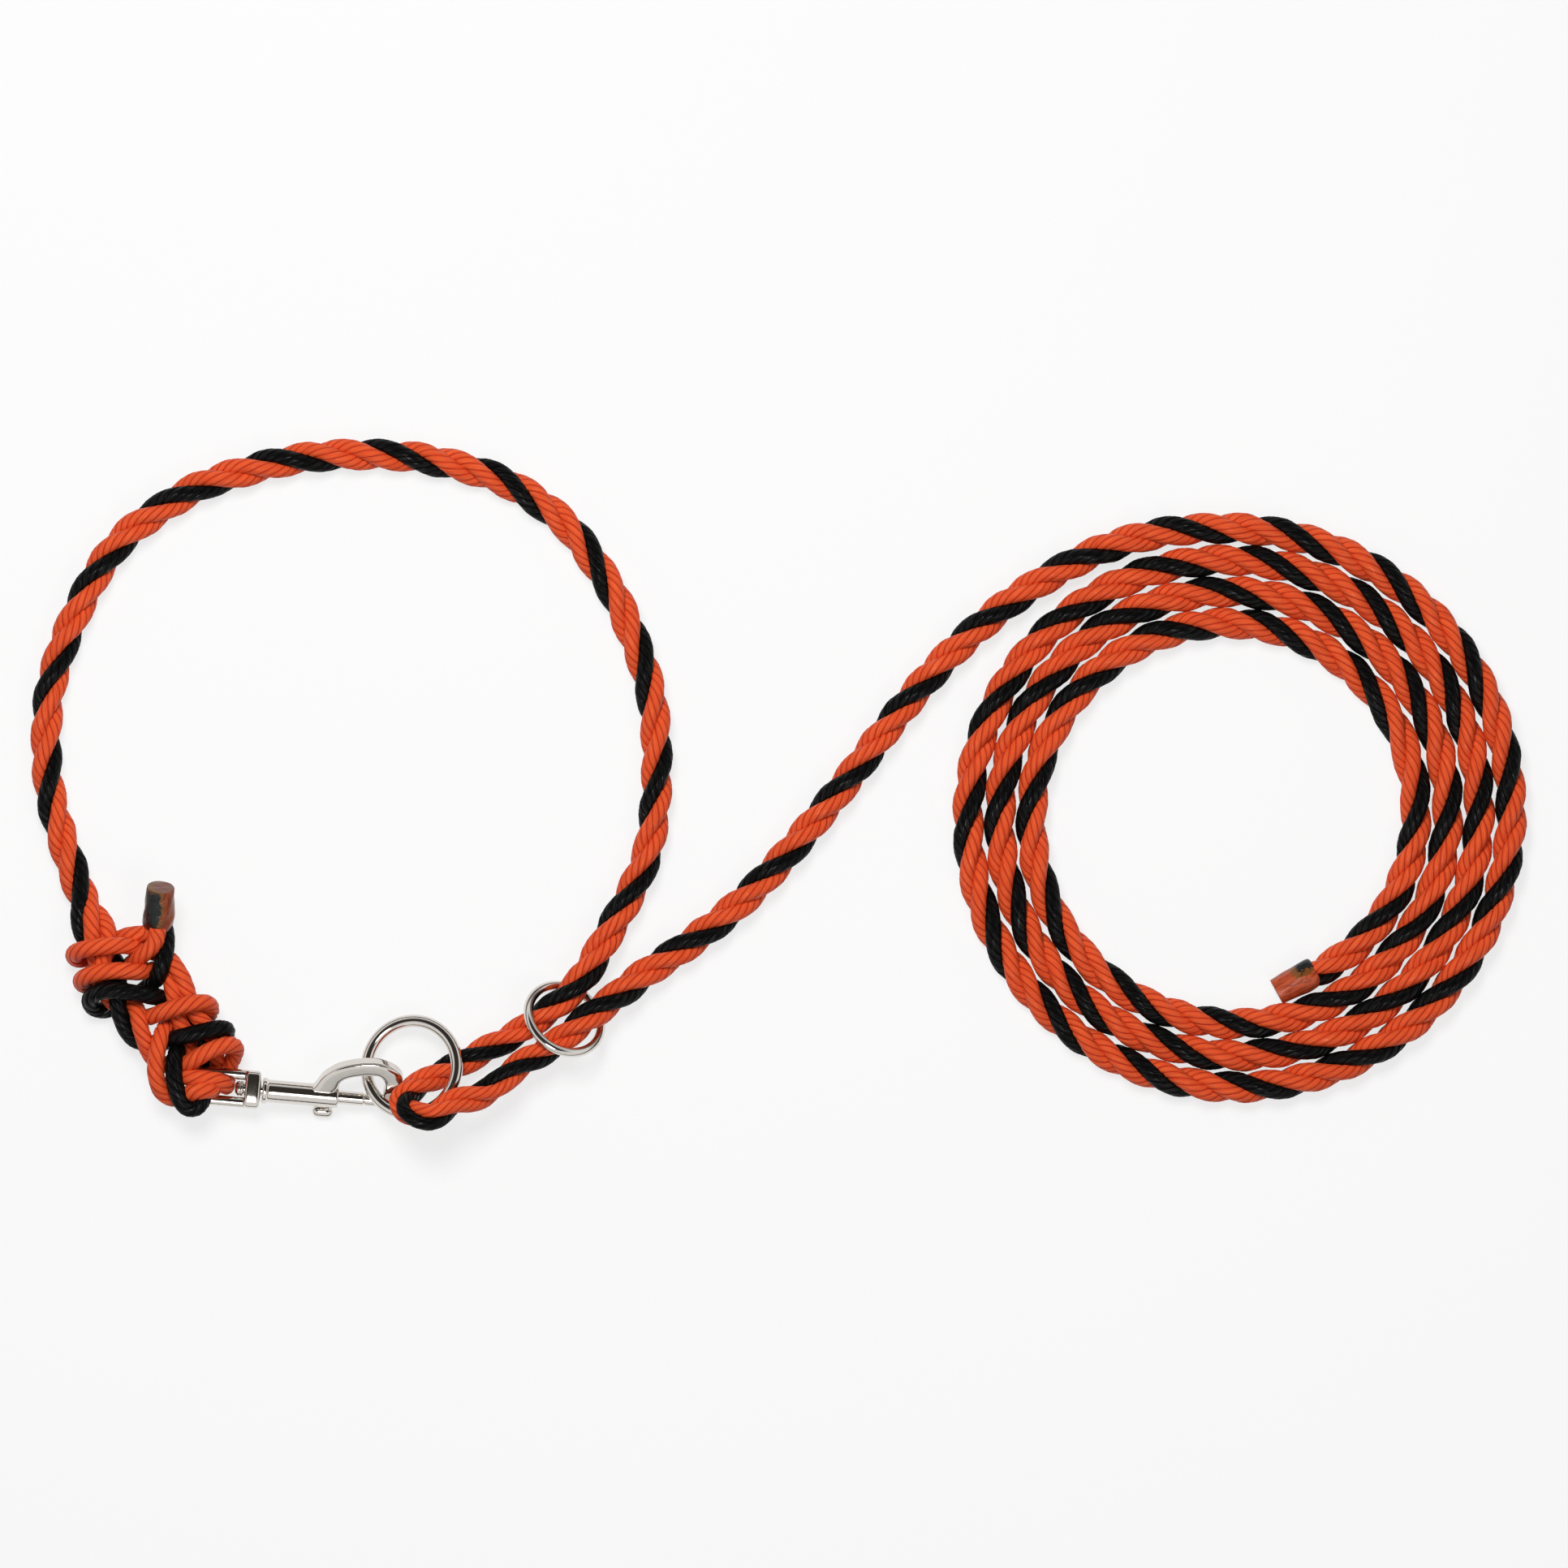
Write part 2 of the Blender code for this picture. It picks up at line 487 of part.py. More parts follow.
def snap_bolt():
    """The sprung bolt that shuts the hook, drilled for its knob."""
    back, tip = BOLT_X
    from_groove, to_groove, groove_d = BOLT_GROOVE
    bolt_r, groove_r, tip_r = BOLT_D / 2, groove_d / 2, BOLT_TIP_D / 2
    bolt = turned("snap_bolt", [(back, 0), (back, bolt_r), (from_groove, bolt_r),
                                (from_groove + BOLT_GROOVE_SLOPE, groove_r),
                                (to_groove - BOLT_GROOVE_SLOPE, groove_r), (to_groove, tip_r),
                                (tip - BOLT_TIP_EDGE, tip_r), (tip, tip_r - BOLT_TIP_EDGE), (tip, 0)], 20)
    boolean(bolt, cross_rod("drill", 0.6, -BOLT_D, KNOB_STEM_D + 2 * KNOB_STEM_GAP), "DIFFERENCE")
    nickel(bolt)
    return bolt


def thumb_knob():
    """The knob that draws the bolt back: a rounded bar on a stem through the slot."""
    knob = box("thumb_knob", KNOB_X, KNOB_Y, (-KNOB_T / 2, KNOB_T / 2), KNOB_EDGE)
    boolean(knob, cross_rod("stem", 0, sum(KNOB_Y) / 2, KNOB_STEM_D), "UNION")
    nickel(knob)
    return knob


def bolt_spring():
    """The compression spring behind the bolt."""
    count = SPRING_TURNS * 10
    x = np.linspace(*SPRING_X, count + 1)
    angle = np.linspace(0, tau * SPRING_TURNS, count + 1)
    points = np.column_stack([x, SPRING_R * np.cos(angle), SPRING_R * np.sin(angle)]) * MM
    spring = tube("bolt_spring", [Vector(p) for p in points], SPRING_WIRE, sides=1)
    material(spring, (0.45, 0.45, 0.46), 0.3, 1.0)
    return spring


def snap():
    """The swivel bolt snap: the eye stays on the rope, and the rest turns about the pin."""
    fixed, rolled = snap_frame()
    hold(fixed, swivel_eye())
    hold(rolled, snap_body(), swivel_pin(), snap_bolt(), thumb_knob(), bolt_spring())


clear_scene()
rope_runs()
rope_coil()
splice_strands()
end_seals()
rings()
snap()
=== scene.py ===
# %% [markdown]
# # A livestock neck rope
# The object is one length of three-strand laid rope: two orange strands and a black one. A swivel bolt snap
# is spliced to one end, a fold of the rope holds a ring, a second ring slides on both legs of the fold, and
# the long lead is wound into a flat coil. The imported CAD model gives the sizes, and this lesson the looks.

# %% Load the frame
from math import radians

import bpy
import numpy as np
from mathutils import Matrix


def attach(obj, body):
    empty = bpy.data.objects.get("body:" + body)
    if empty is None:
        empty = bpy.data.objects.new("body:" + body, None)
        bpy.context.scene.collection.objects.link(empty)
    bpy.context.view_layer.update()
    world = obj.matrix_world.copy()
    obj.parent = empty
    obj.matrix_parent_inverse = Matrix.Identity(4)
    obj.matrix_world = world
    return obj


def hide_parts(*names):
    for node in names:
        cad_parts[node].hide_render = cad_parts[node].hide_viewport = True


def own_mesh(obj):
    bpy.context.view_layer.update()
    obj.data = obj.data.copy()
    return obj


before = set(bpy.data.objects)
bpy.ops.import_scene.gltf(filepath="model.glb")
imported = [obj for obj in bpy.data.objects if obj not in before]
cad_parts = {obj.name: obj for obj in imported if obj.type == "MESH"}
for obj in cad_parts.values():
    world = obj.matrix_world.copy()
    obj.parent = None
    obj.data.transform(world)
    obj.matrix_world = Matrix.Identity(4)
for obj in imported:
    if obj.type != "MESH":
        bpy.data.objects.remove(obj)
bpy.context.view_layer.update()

# %% [markdown]
# ## Plan positions
# The photo looks straight down, so a pixel of it is a place on the floor. One scale turns pixels into metres:
# the rope is 40 pixels wide and half an inch thick. Heights are millimetres above the floor.

# %% From pixels to metres
MM = 0.001
ROPE_MM = 12.7
ROPE_PX = 40
MM_PER_PX = ROPE_MM / ROPE_PX
ROPE_MIDDLE_MM = ROPE_MM / 2
CENTRE_PX = np.array([958.48, 964.92])


def plan(points):
    """Rows of (pixel x, pixel y, height in mm) in metres: pixels from the centre times the scale, y up."""
    p = np.asarray(points, float)
    flat = (p[:, :2] - CENTRE_PX) * MM_PER_PX * [1, -1]
    return np.column_stack([flat, p[:, 2]]) * MM


def smooth(points, per_span=12):
    """Points of the Catmull-Rom curve: each span is the cubic whose slope at a point joins its neighbours."""
    p = np.asarray(points, float)
    q = np.vstack([2 * p[0] - p[1], p, 2 * p[-1] - p[-2]])
    t = np.linspace(0, 1, per_span, endpoint=False)[None, :, None]
    a, b, c, d = (q[i:len(q) - 3 + i, None] for i in range(4))
    spans = (b + (c - a) * t / 2 + (2 * a - 5 * b + 4 * c - d) * t**2 / 2
             + (3 * b - a - 3 * c + d) * t**3 / 2)
    return np.vstack([spans.reshape(-1, p.shape[1]), p[-1:]])


def run_of(points):
    """The length of the path up to each of its points: the sum of the steps before it."""
    return np.concatenate([[0], np.cumsum(np.linalg.norm(np.diff(points, axis=0), axis=1))])


def even(points, step):
    """Points at equal steps along a path, by straight lines between the given ones."""
    run = run_of(points)
    stops = np.linspace(0, run[-1], round(run[-1] / step) + 1)
    return np.column_stack([np.interp(stops, run, points[:, k]) for k in range(points.shape[1])])


print("scale", MM_PER_PX, "mm a pixel")

# %% [markdown]
# ## Camera
# A long lens high above the floor keeps the picture almost free of perspective, as in the photo. Its length
# follows from the height and from how much of the floor the photo shows.

# %% Camera
PHOTO_PX = 1932
CAMERA_HEIGHT = 4.0
SENSOR_MM = 36

camera_data = bpy.data.cameras.new("photo_camera")
camera = bpy.data.objects.new("photo_camera", camera_data)
bpy.context.scene.collection.objects.link(camera)
camera.location = plan([(PHOTO_PX / 2, PHOTO_PX / 2, ROPE_MIDDLE_MM)])[0] + [0, 0, CAMERA_HEIGHT]
camera_data.sensor_width = SENSOR_MM
camera_data.lens = SENSOR_MM * CAMERA_HEIGHT / (PHOTO_PX * MM_PER_PX * MM)
camera_data.clip_end = 100
bpy.context.scene.camera = camera
print("lens", round(camera_data.lens, 1), "mm")

# %% [markdown]
# ## The rope's middle line
# A laid rope is easiest to think of as a line with three strands wound round it. The line goes round the neck
# loop, folds over the snap ring, comes back beside itself, and runs out as the lead into a flat spiral. The
# free runs are given points, and the spiral is a formula.

# %% Middle line
NECK_LOOP = [
    (108, 1118, 6.5), (94, 1085, 6.4), (76, 1031, 6.4), (62, 978, 6.4), (57, 924, 6.4), (59, 870, 6.4),
    (66, 832, 6.4), (80, 789, 6.4), (96, 751, 6.4), (120, 705, 6.4), (154, 661, 6.4), (199, 627, 6.4),
    (245, 600, 6.4), (297, 582, 6.4), (352, 568, 6.4), (408, 561, 6.4), (462, 560, 6.4), (515, 564, 6.4),
    (567, 575, 6.4), (617, 591, 6.4), (660, 616, 6.4), (701, 650, 6.4), (731, 690, 6.4), (758, 734, 6.4),
    (778, 779, 6.4), (795, 826, 6.4), (805, 871, 6.4), (809, 918, 6.4), (809, 967, 6.4), (805, 1014, 6.4),
    (796, 1057, 6.4), (777, 1101, 6.4), (756, 1139, 6.8),
]
BIGHT = [
    (737, 1174, 7.9), (722, 1199, 9.2), (705, 1221, 10.6), (679, 1243.5, 9.7), (640, 1271, 7.7),
    (601, 1292.5, 6.7), (560.5, 1314, 8.1), (517.5, 1336.5, 15.1), (498, 1352, 20.9), (505, 1368.5, 27.1),
    (533.5, 1373.5, 29.1), (563.5, 1356, 25.0), (602, 1345, 19.2), (638, 1314, 14.5), (681, 1288.5, 13.1),
    (721, 1256.5, 13.4), (758, 1229, 9.8),
]
LEAD = [
    (788, 1205, 7.4), (818, 1184, 6.7), (853, 1160, 6.4), (905, 1119, 6.4), (955, 1069, 6.4),
    (1004, 1012, 6.4), (1050, 954, 6.4), (1094, 896, 6.4), (1136, 844, 6.4), (1182, 795, 6.4),
    (1238, 747, 6.4), (1300, 706, 6.4), (1366, 674, 6.4), (1440, 655, 6.4),
]
COIL_CENTRE_PX = (1517.5, 1005.0)
COIL_R = 112.4
COIL_PITCH = 12.38
COIL_TURNS = 3 + 158 / 360


def coil_line(turn):
    """The flat spiral, clockwise from the top: its radius falls by one pitch a turn."""
    radius = (COIL_R - COIL_PITCH * turn) / MM_PER_PX
    angle = 2 * np.pi * turn
    x, y = COIL_CENTRE_PX
    height = np.full(len(turn), ROPE_MIDDLE_MM)
    return np.column_stack([x + radius * np.sin(angle), y - radius * np.cos(angle), height])


turns_of_coil = np.linspace(0, COIL_TURNS, 130)
rope_points = np.vstack([NECK_LOOP, BIGHT, LEAD, coil_line(turns_of_coil)])
rope_line = even(smooth(plan(rope_points)), 1 * MM)
rope_run = run_of(rope_line)
print("rope from the splice to the fused end", round(rope_run[-1], 3), "m")

# %% [markdown]
# ## The lay
# One turn of the strands takes about 43 mm. The black strand comes to the top once a turn, and a few of those
# places are read off the photo. Between them the winding is even, so the black patches fall into place.

# %% Lay of the strands
BLACK_ON_TOP = [
    (61, 967, 0), (503, 1364, 13), (637, 1315, 14), (1725, 723, 24), (1677, 1303, 29), (1224, 1151, 33),
    (1231, 858, 35), (1590, 1293, 44), (1255, 1125, 47), (1283, 849, 49), (1747, 864, 53), (1739, 1146, 55),
    (1402, 1231, 58), (1338, 843, 61), (1689, 849, 64), (1745, 1005, 65), (1705, 1127, 66),
]
LAY = 43.5 * MM
SPARE_TURNS = 10


def lay_turns(run):
    """Turns of the black strand at lengths along the rope: straight lines between the marks, and one turn in
    each lay beyond them."""
    marks = np.array(BLACK_ON_TOP, float)
    spots = plan(marks * [1, 1, 0])[:, :2]
    near = np.linalg.norm(rope_line[None, :, :2] - spots[:, None], axis=2).argmin(1)
    at, turn = rope_run[near], marks[:, 2]
    spare = SPARE_TURNS * LAY
    at = np.concatenate([[at[0] - spare], at, [at[-1] + spare]])
    turn = np.concatenate([[turn[0] - SPARE_TURNS], turn, [turn[-1] + SPARE_TURNS]])
    return np.interp(run, at, turn)


print("turns in the rope", round(float(np.ptp(lay_turns(rope_run))), 1))

# %% [markdown]
# ## Strands in the laid rope
# Each strand is a helix round the middle line. Two directions square to the line, one of them as upright as
# can be, carry the helix, and the three strands are a third of a turn apart. The rope is right-laid. It is
# pressed thinner in the fold and inside the fused end.

# %% Helix round the line
HELIX_R = 3.3 * MM
FOLD_SQUEEZE = 0.105
FOLD_FADE = 40 * MM
MELT_SQUEEZE = 0.3
MELT_REACH = 12 * MM


def unit(v):
    """A vector, or each row of vectors, divided by its length."""
    return v / np.linalg.norm(v, axis=-1, keepdims=True)


def run_at(place):
    """The length along the rope at the point of its line nearest to a plan position."""
    spot = plan([place])[0]
    return rope_run[np.linalg.norm(rope_line - spot, axis=1).argmin()]


def squeeze(run):
    """How thin the rope is pressed: a little where it is folded and held by the slide ring, more inside the
    fused end, and not at all elsewhere."""
    first, last = run_at(BIGHT[0]), run_at(BIGHT[-1])
    folded = np.clip((run - first) / FOLD_FADE, 0, 1) * np.clip((last - run) / FOLD_FADE, 0, 1)
    melted = np.clip(1 - (rope_run[-1] - run) / MELT_REACH, 0, 1)
    return 1 - FOLD_SQUEEZE * folded - MELT_SQUEEZE * melted


def laid_strand(third, start, step):
    """A helix: the line, plus the radius times the cosine upright and the sine sideways of its turns."""
    run = np.arange(start, rope_run[-1], step)
    line = np.column_stack([np.interp(run, rope_run, rope_line[:, k]) for k in range(3)])
    slope = unit(np.gradient(line, axis=0))
    up = unit(np.array([0, 0, 1.0]) - slope[:, 2:] * slope)
    side = np.cross(slope, up)
    angle = 2 * np.pi * (lay_turns(run) + third / 3)[:, None]
    return line + HELIX_R * squeeze(run)[:, None] * (np.cos(angle) * up + np.sin(angle) * side)


print("thinnest share of the rope", round(float(squeeze(rope_run).min()), 3))

# %% [markdown]
# ## The splice
# At the snap the rope is opened. Its strands go round the swivel eye, come back as the tail, and are tucked
# round the standing part, so each is one long walk over and under the others. The routes are given points,
# the same as in the CAD model.

# %% Splice routes
SPLICE_LIFT = 1.2
SPLICE_STRAND_R = 3.35
BLACK_ROUTE = [
    (98, 1127, 8.2), (98, 1140, 7.8), (106, 1160, 6.2), (126, 1173, 6.2), (144, 1184, 8.5), (148, 1205, 11),
    (146, 1230, 11), (149, 1250, 10.3), (158, 1272, 9), (174, 1285, 6.6), (192, 1285, 6.3), (207, 1283, 8),
    (218, 1279, 12.8), (237, 1274, 15.5), (258, 1269, 15.5), (274, 1266, 13), (281, 1270, 8.5),
    (272, 1280, 4), (254, 1287, 2.6), (236, 1286, 2.8), (223, 1289, 7.5), (217, 1302, 14.2),
    (216, 1320, 15.5), (219, 1338, 15.3), (226, 1359, 14.4), (238, 1367, 13), (248, 1362, 13.6),
    (252, 1353, 13.6), (252, 1345, 12.2), (252, 1338.5, 8.6), (251, 1333, 4.6), (250, 1318, 2.6),
    (250, 1304, 5.2), (252, 1290, 8.3), (246, 1272, 7.2), (236, 1255, 6), (225, 1241, 5), (212, 1233, 5.5),
    (200, 1229, 10.3), (184, 1226, 14.8), (165, 1222, 15.7), (142, 1219, 15.7), (122, 1222, 14),
    (111, 1232, 9.5), (117, 1244, 4.2), (137, 1243, 2.6), (162, 1230, 2.6), (182, 1216, 5.5),
    (195, 1205, 11.5), (201, 1190, 14.2), (206, 1172, 13.6), (207, 1158, 12), (206, 1148, 11.2),
    (203, 1138, 13),
]
ORANGE_ROUTE_1 = [
    (113, 1128, 9.5), (114, 1145, 10), (116, 1165, 10), (119, 1185, 8.6), (132, 1207, 6.3),
    (155, 1228, 6.6), (170, 1243, 10.3), (174, 1262, 13), (180, 1283, 12.3), (188, 1302, 9.8),
    (203, 1312, 9.5), (219, 1312, 9.6), (235, 1309, 13.4), (252, 1298, 15.5), (272, 1289, 15),
    (287, 1286, 12), (292, 1294, 8), (286, 1306, 4.5), (281, 1318, 2.6), (279, 1333, 3.6),
    (279, 1339, 8.5), (276, 1333, 12.6), (257, 1328, 14.2), (240, 1328, 14.2), (225, 1324, 10.5),
    (219, 1317, 5.2), (228, 1307, 4.6), (238, 1291, 8.8), (227, 1268, 10), (219, 1250, 10.3),
    (217, 1232, 11.3), (213, 1216, 11.2), (211, 1203, 9.4), (202, 1195, 7), (187, 1195, 8),
    (170, 1197, 13.8), (147, 1195, 15.7), (123, 1198, 15.4), (106, 1203, 12.5), (100, 1209, 8.5),
    (107, 1215, 4), (126, 1208, 2.5), (148, 1198, 2.9), (163, 1187, 8), (176, 1177, 13), (188, 1168, 15),
    (195, 1160, 15.2), (196, 1154, 15.3), (197, 1142, 16),
]
ORANGE_ROUTE_2 = [
    (125, 1130, 5.5), (134, 1146, 8), (135, 1165, 10.2), (128, 1184, 11.6), (124, 1205, 11),
    (130, 1224, 8), (147, 1241, 6.8), (166, 1251, 6), (180, 1254, 7.5), (190, 1251, 11.5),
    (206, 1245, 15), (228, 1238, 15.8), (248, 1234, 14.5), (260, 1238, 10), (258, 1250, 5),
    (242, 1262, 2.5), (220, 1266, 3), (206, 1264, 8.3), (200, 1277, 13.2), (195, 1300, 15),
    (194, 1322, 14.5), (198, 1340, 12.8), (209, 1352, 9.6), (220, 1354, 8), (230, 1349, 12),
    (242, 1344, 15.2), (254, 1342, 16.4), (263, 1342, 14), (265, 1338.5, 8.8), (264, 1334, 4.8),
    (265, 1318, 2.6), (266, 1304, 5.2), (267, 1290, 8.5), (259, 1270, 10), (246, 1254, 10.6),
    (236, 1240, 10.3), (233, 1224, 11), (227, 1207, 12), (218, 1191, 11.8), (206, 1179, 9),
    (190, 1173, 7.3), (174, 1168, 8.4), (160, 1165, 13.6), (140, 1165, 15.7), (116, 1167, 15.4),
    (98, 1171, 12.5), (91, 1177, 8.5), (98, 1183, 4), (117, 1177, 2.5), (138, 1164, 3), (152, 1155, 8),
    (166, 1151, 11), (179, 1151, 11.4), (186, 1148, 11.2), (191, 1138, 13),
]


def splice_strand(route):
    """The route from the tail to the standing part, lifted to the loose splice and kept above the floor."""
    line = plan(np.array(route, float)[::-1] * [1, 1, SPLICE_LIFT])
    line[:, 2] = np.maximum(line[:, 2], SPLICE_STRAND_R * MM)
    return line


# %% [markdown]
# ## Surfaces on a grid
# Every new piece is a grid of points, rows along it and columns around it. Neighbours make quads, so numpy
# can write a whole surface at once. A map of u around and v along goes with it for the materials.

# %% Grid to mesh
def grid_mesh(name, grid, closed=False, along=None):
    """A mesh of a grid of points: neighbours make quads, and open ends are capped."""
    rows, cols = grid.shape[:2]
    index = np.arange(rows * cols).reshape(rows, cols)
    here = index if closed else index[:-1]
    ahead = np.roll(index, -1, axis=0) if closed else index[1:]
    quads = np.stack([here, np.roll(here, -1, 1), np.roll(ahead, -1, 1), ahead], -1).reshape(-1, 4)
    caps = [] if closed else [index[0, ::-1].tolist(), index[-1].tolist()]
    mesh = bpy.data.meshes.new(name)
    mesh.from_pydata(grid.reshape(-1, 3).tolist(), [], quads.tolist() + caps)
    mesh.shade_smooth()
    if along is not None:
        uv = np.zeros((len(mesh.loops), 2), np.float32)
        row, col = np.divmod(here.ravel(), cols)
        last = (row + 1) % rows
        corners = [(col, row), (col + 1, row), (col + 1, last), (col, last)]
        spread = np.stack([np.column_stack([u / cols, along[v]]) for u, v in corners], 1)
        uv[:len(quads) * 4] = spread.reshape(-1, 2)
        mesh.uv_layers.new(name="along").uv.foreach_set("vector", uv.ravel())
    obj = bpy.data.objects.new(name, mesh)
    bpy.context.scene.collection.objects.link(obj)
    return obj


def carried_frames(path):
    """Two directions square to a path, carried along it without turning about it, by double reflection."""
    slope = unit(np.gradient(path, axis=0))
    first = np.cross(slope[0], [0, 0, 1.0] if abs(slope[0, 2]) < 0.9 else [1.0, 0, 0])
    normal = [first / np.linalg.norm(first)]
    for k in range(len(path) - 1):
        step = path[k + 1] - path[k]
        half = normal[-1] - 2 * step.dot(normal[-1]) / step.dot(step) * step
        turned_slope = slope[k] - 2 * step.dot(slope[k]) / step.dot(step) * step
        change = slope[k + 1] - turned_slope
        size = change.dot(change)
        normal.append(half - 2 * change.dot(half) / size * change if size > 1e-18 else half)
    normal = np.array(normal)
    return normal, np.cross(slope, normal)


# %% [markdown]
# ## Yarns
# A strand is itself twisted, out of thin yarns that run the other way, so they lie along the rope. The
# surface is a scalloped circle carried along the strand and turned as it goes. Its columns follow the yarns,
# which keeps the creases sharp with few points. Real rope is uneven, so each yarn swells and each groove
# deepens at its own pace.

# %% Strand surface
YARNS = 6
POINTS_PER_YARN = 7
YARN_TWIST = 24 * MM
YARN_DEPTH = 0.12
YARN_SWELL = 0.02
YARN_PACE = (70, 260)


def strand_surface(path, radius, seed):
    """A scalloped circle along a path: the radius dips between yarns, by more or less as it goes, each yarn
    swells and thins slowly on its own, and the section turns one left-hand turn in each yarn twist."""
    cols = YARNS * POINTS_PER_YARN
    run = run_of(path)[:, None]
    around = 2 * np.pi * np.arange(cols) / cols
    crown = np.abs(np.sin(YARNS * around / 2))
    yarn = np.arange(cols) // POINTS_PER_YARN
    gap = (np.arange(cols) + POINTS_PER_YARN // 2) // POINTS_PER_YARN % YARNS
    draw = np.random.default_rng(seed)
    pace, shift = draw.uniform(*YARN_PACE, (3, YARNS)), draw.uniform(0, 2 * np.pi, (3, YARNS))
    swell = np.sin(run * pace[0][yarn] + shift[0][yarn]) + np.sin(run * pace[1][yarn] + shift[1][yarn])
    depth = YARN_DEPTH * (0.6 + 0.4 * np.sin(run * pace[2][gap] + shift[2][gap]))
    size = radius[:, None] * (1.01 - depth * (1 - crown) ** 2 + YARN_SWELL * swell * crown)
    normal, side = carried_frames(path)
    angle = around - 2 * np.pi * run / YARN_TWIST
    out = np.cos(angle)[..., None] * normal[:, None] + np.sin(angle)[..., None] * side[:, None]
    return path[:, None] + size[..., None] * out


# %% [markdown]
# ## The three strands
# On the real rope a strand is one piece from end to end, so it is one piece here: splice route and helix are
# joined into one path, and its kinks are rounded. The strands are free cord.

# %% Strands
STRAND_R = 3.1
RING_STEP = 1.63 * MM
LAID_FROM = 6 * MM
HELIX_STEP = LAY / 8
SPLICE_FADE = 25 * MM
PATH_PER_SPAN = 8
MAP_PER_METRE = 10


def eased(path, times):
    """A path with its kinks rounded: each point moves to the mean of itself, twice, and its neighbours."""
    for _ in range(times):
        path = np.vstack([path[:1], (path[:-2] + 2 * path[1:-1] + path[2:]) / 4, path[-1:]])
    return path


def strand(name, third, route, seed):
    """One strand from the fused tail, through the splice and the laid rope, to the fused end of the lead."""
    spliced = splice_strand(route)
    laid = laid_strand(third, LAID_FROM, HELIX_STEP)
    path = eased(even(smooth(np.vstack([spliced, laid]), PATH_PER_SPAN), RING_STEP), 3)
    spliced_length = run_of(smooth(spliced, PATH_PER_SPAN))[-1]
    run = run_of(path)
    in_splice = np.clip((spliced_length + SPLICE_FADE - run) / SPLICE_FADE, 0, 1)
    rope_at = np.clip(run - spliced_length, 0, None) * rope_run[-1] / (run[-1] - spliced_length)
    radius = (STRAND_R * squeeze(rope_at) * (1 - in_splice) + SPLICE_STRAND_R * in_splice) * MM
    obj = grid_mesh(name, strand_surface(path, radius, seed), along=run * MAP_PER_METRE)
    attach(obj, "rope")
    print(name, "length", round(float(run[-1]), 3), "m,", len(path), "rings")
    return obj


black_strand = strand("black_strand", 0, BLACK_ROUTE, 11)
orange_strand_1 = strand("orange_strand_1", 1, ORANGE_ROUTE_1, 12)
orange_strand_2 = strand("orange_strand_2", 2, ORANGE_ROUTE_2, 13)
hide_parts("splice_strand_black", "neck_loop_rope")
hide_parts("splice_strand_orange_1", "bight_rope", "lead_rope")
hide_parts("splice_strand_orange_2", "rope_coil")

# %% [markdown]
# ## The snap's frame
# The snap's pieces are made in the snap's own frame, where x runs from the swivel eye to the nose of the hook
# and y points to the hook's arch, and are then turned into place. The eye doesn't roll with the snap.

# %% Snap frame
SNAP_AT = (322.0, 1343.0, 9.1)
SNAP_YAW, SNAP_PITCH, SNAP_ROLL = radians(-5.17), radians(4.6), radians(36)


def rotation(axis, angle):
    """The matrix of a turn about one of the axes 0, 1 or 2."""
    matrix = np.eye(3)
    i, j = [(1, 2), (2, 0), (0, 1)][axis]
    matrix[[i, i, j, j], [i, j, i, j]] = np.cos(angle), -np.sin(angle), np.sin(angle), np.cos(angle)
    return matrix


EYE_FRAME = rotation(2, SNAP_YAW) @ rotation(1, SNAP_PITCH)
SNAP_FRAME = EYE_FRAME @ rotation(0, SNAP_ROLL)


def in_place(grid, turn):
    """Points of the snap in mm, turned and moved to where the snap lies, in metres."""
    return grid @ turn.T * MM + plan([SNAP_AT])[0]


print("snap runs along", SNAP_FRAME[:, 0].round(3))

# %% [markdown]
# ## Turned and swept metal
# Round pieces are a profile of (x, radius) turned about x. Bent ones are a section carried along a path. A
# casting is several of these, joined on fine voxels and smoothed, because a casting has soft fillets.

# %% Turned, swept and fused
def turned(profile, steps=64):
    """A surface of revolution about x: each (x, radius) goes round in equal steps."""
    x, radius = np.array(profile, float).T[..., None]
    angle = 2 * np.pi * np.arange(steps) / steps
    return np.stack([np.repeat(x, steps, 1), radius * np.cos(angle), radius * np.sin(angle)], -1)


def same(direction, count):
    """One direction, repeated for each point of a path."""
    return np.repeat([direction], count, 0)


def swept(path, across, up, width, thick, power=2.0, steps=40):
    """A section carried along a path: the superellipse |a/width|^power + |b/thick|^power = 1."""
    angle = 2 * np.pi * np.arange(steps) / steps
    a = np.sign(np.cos(angle)) * np.abs(np.cos(angle)) ** (2 / power)
    b = np.sign(np.sin(angle)) * np.abs(np.sin(angle)) ** (2 / power)
    width, thick = (np.broadcast_to(v, len(path))[:, None, None] for v in (width, thick))
    return path[:, None] + across[:, None] * width * a[None, :, None] + up[:, None] * thick * b[None, :, None]


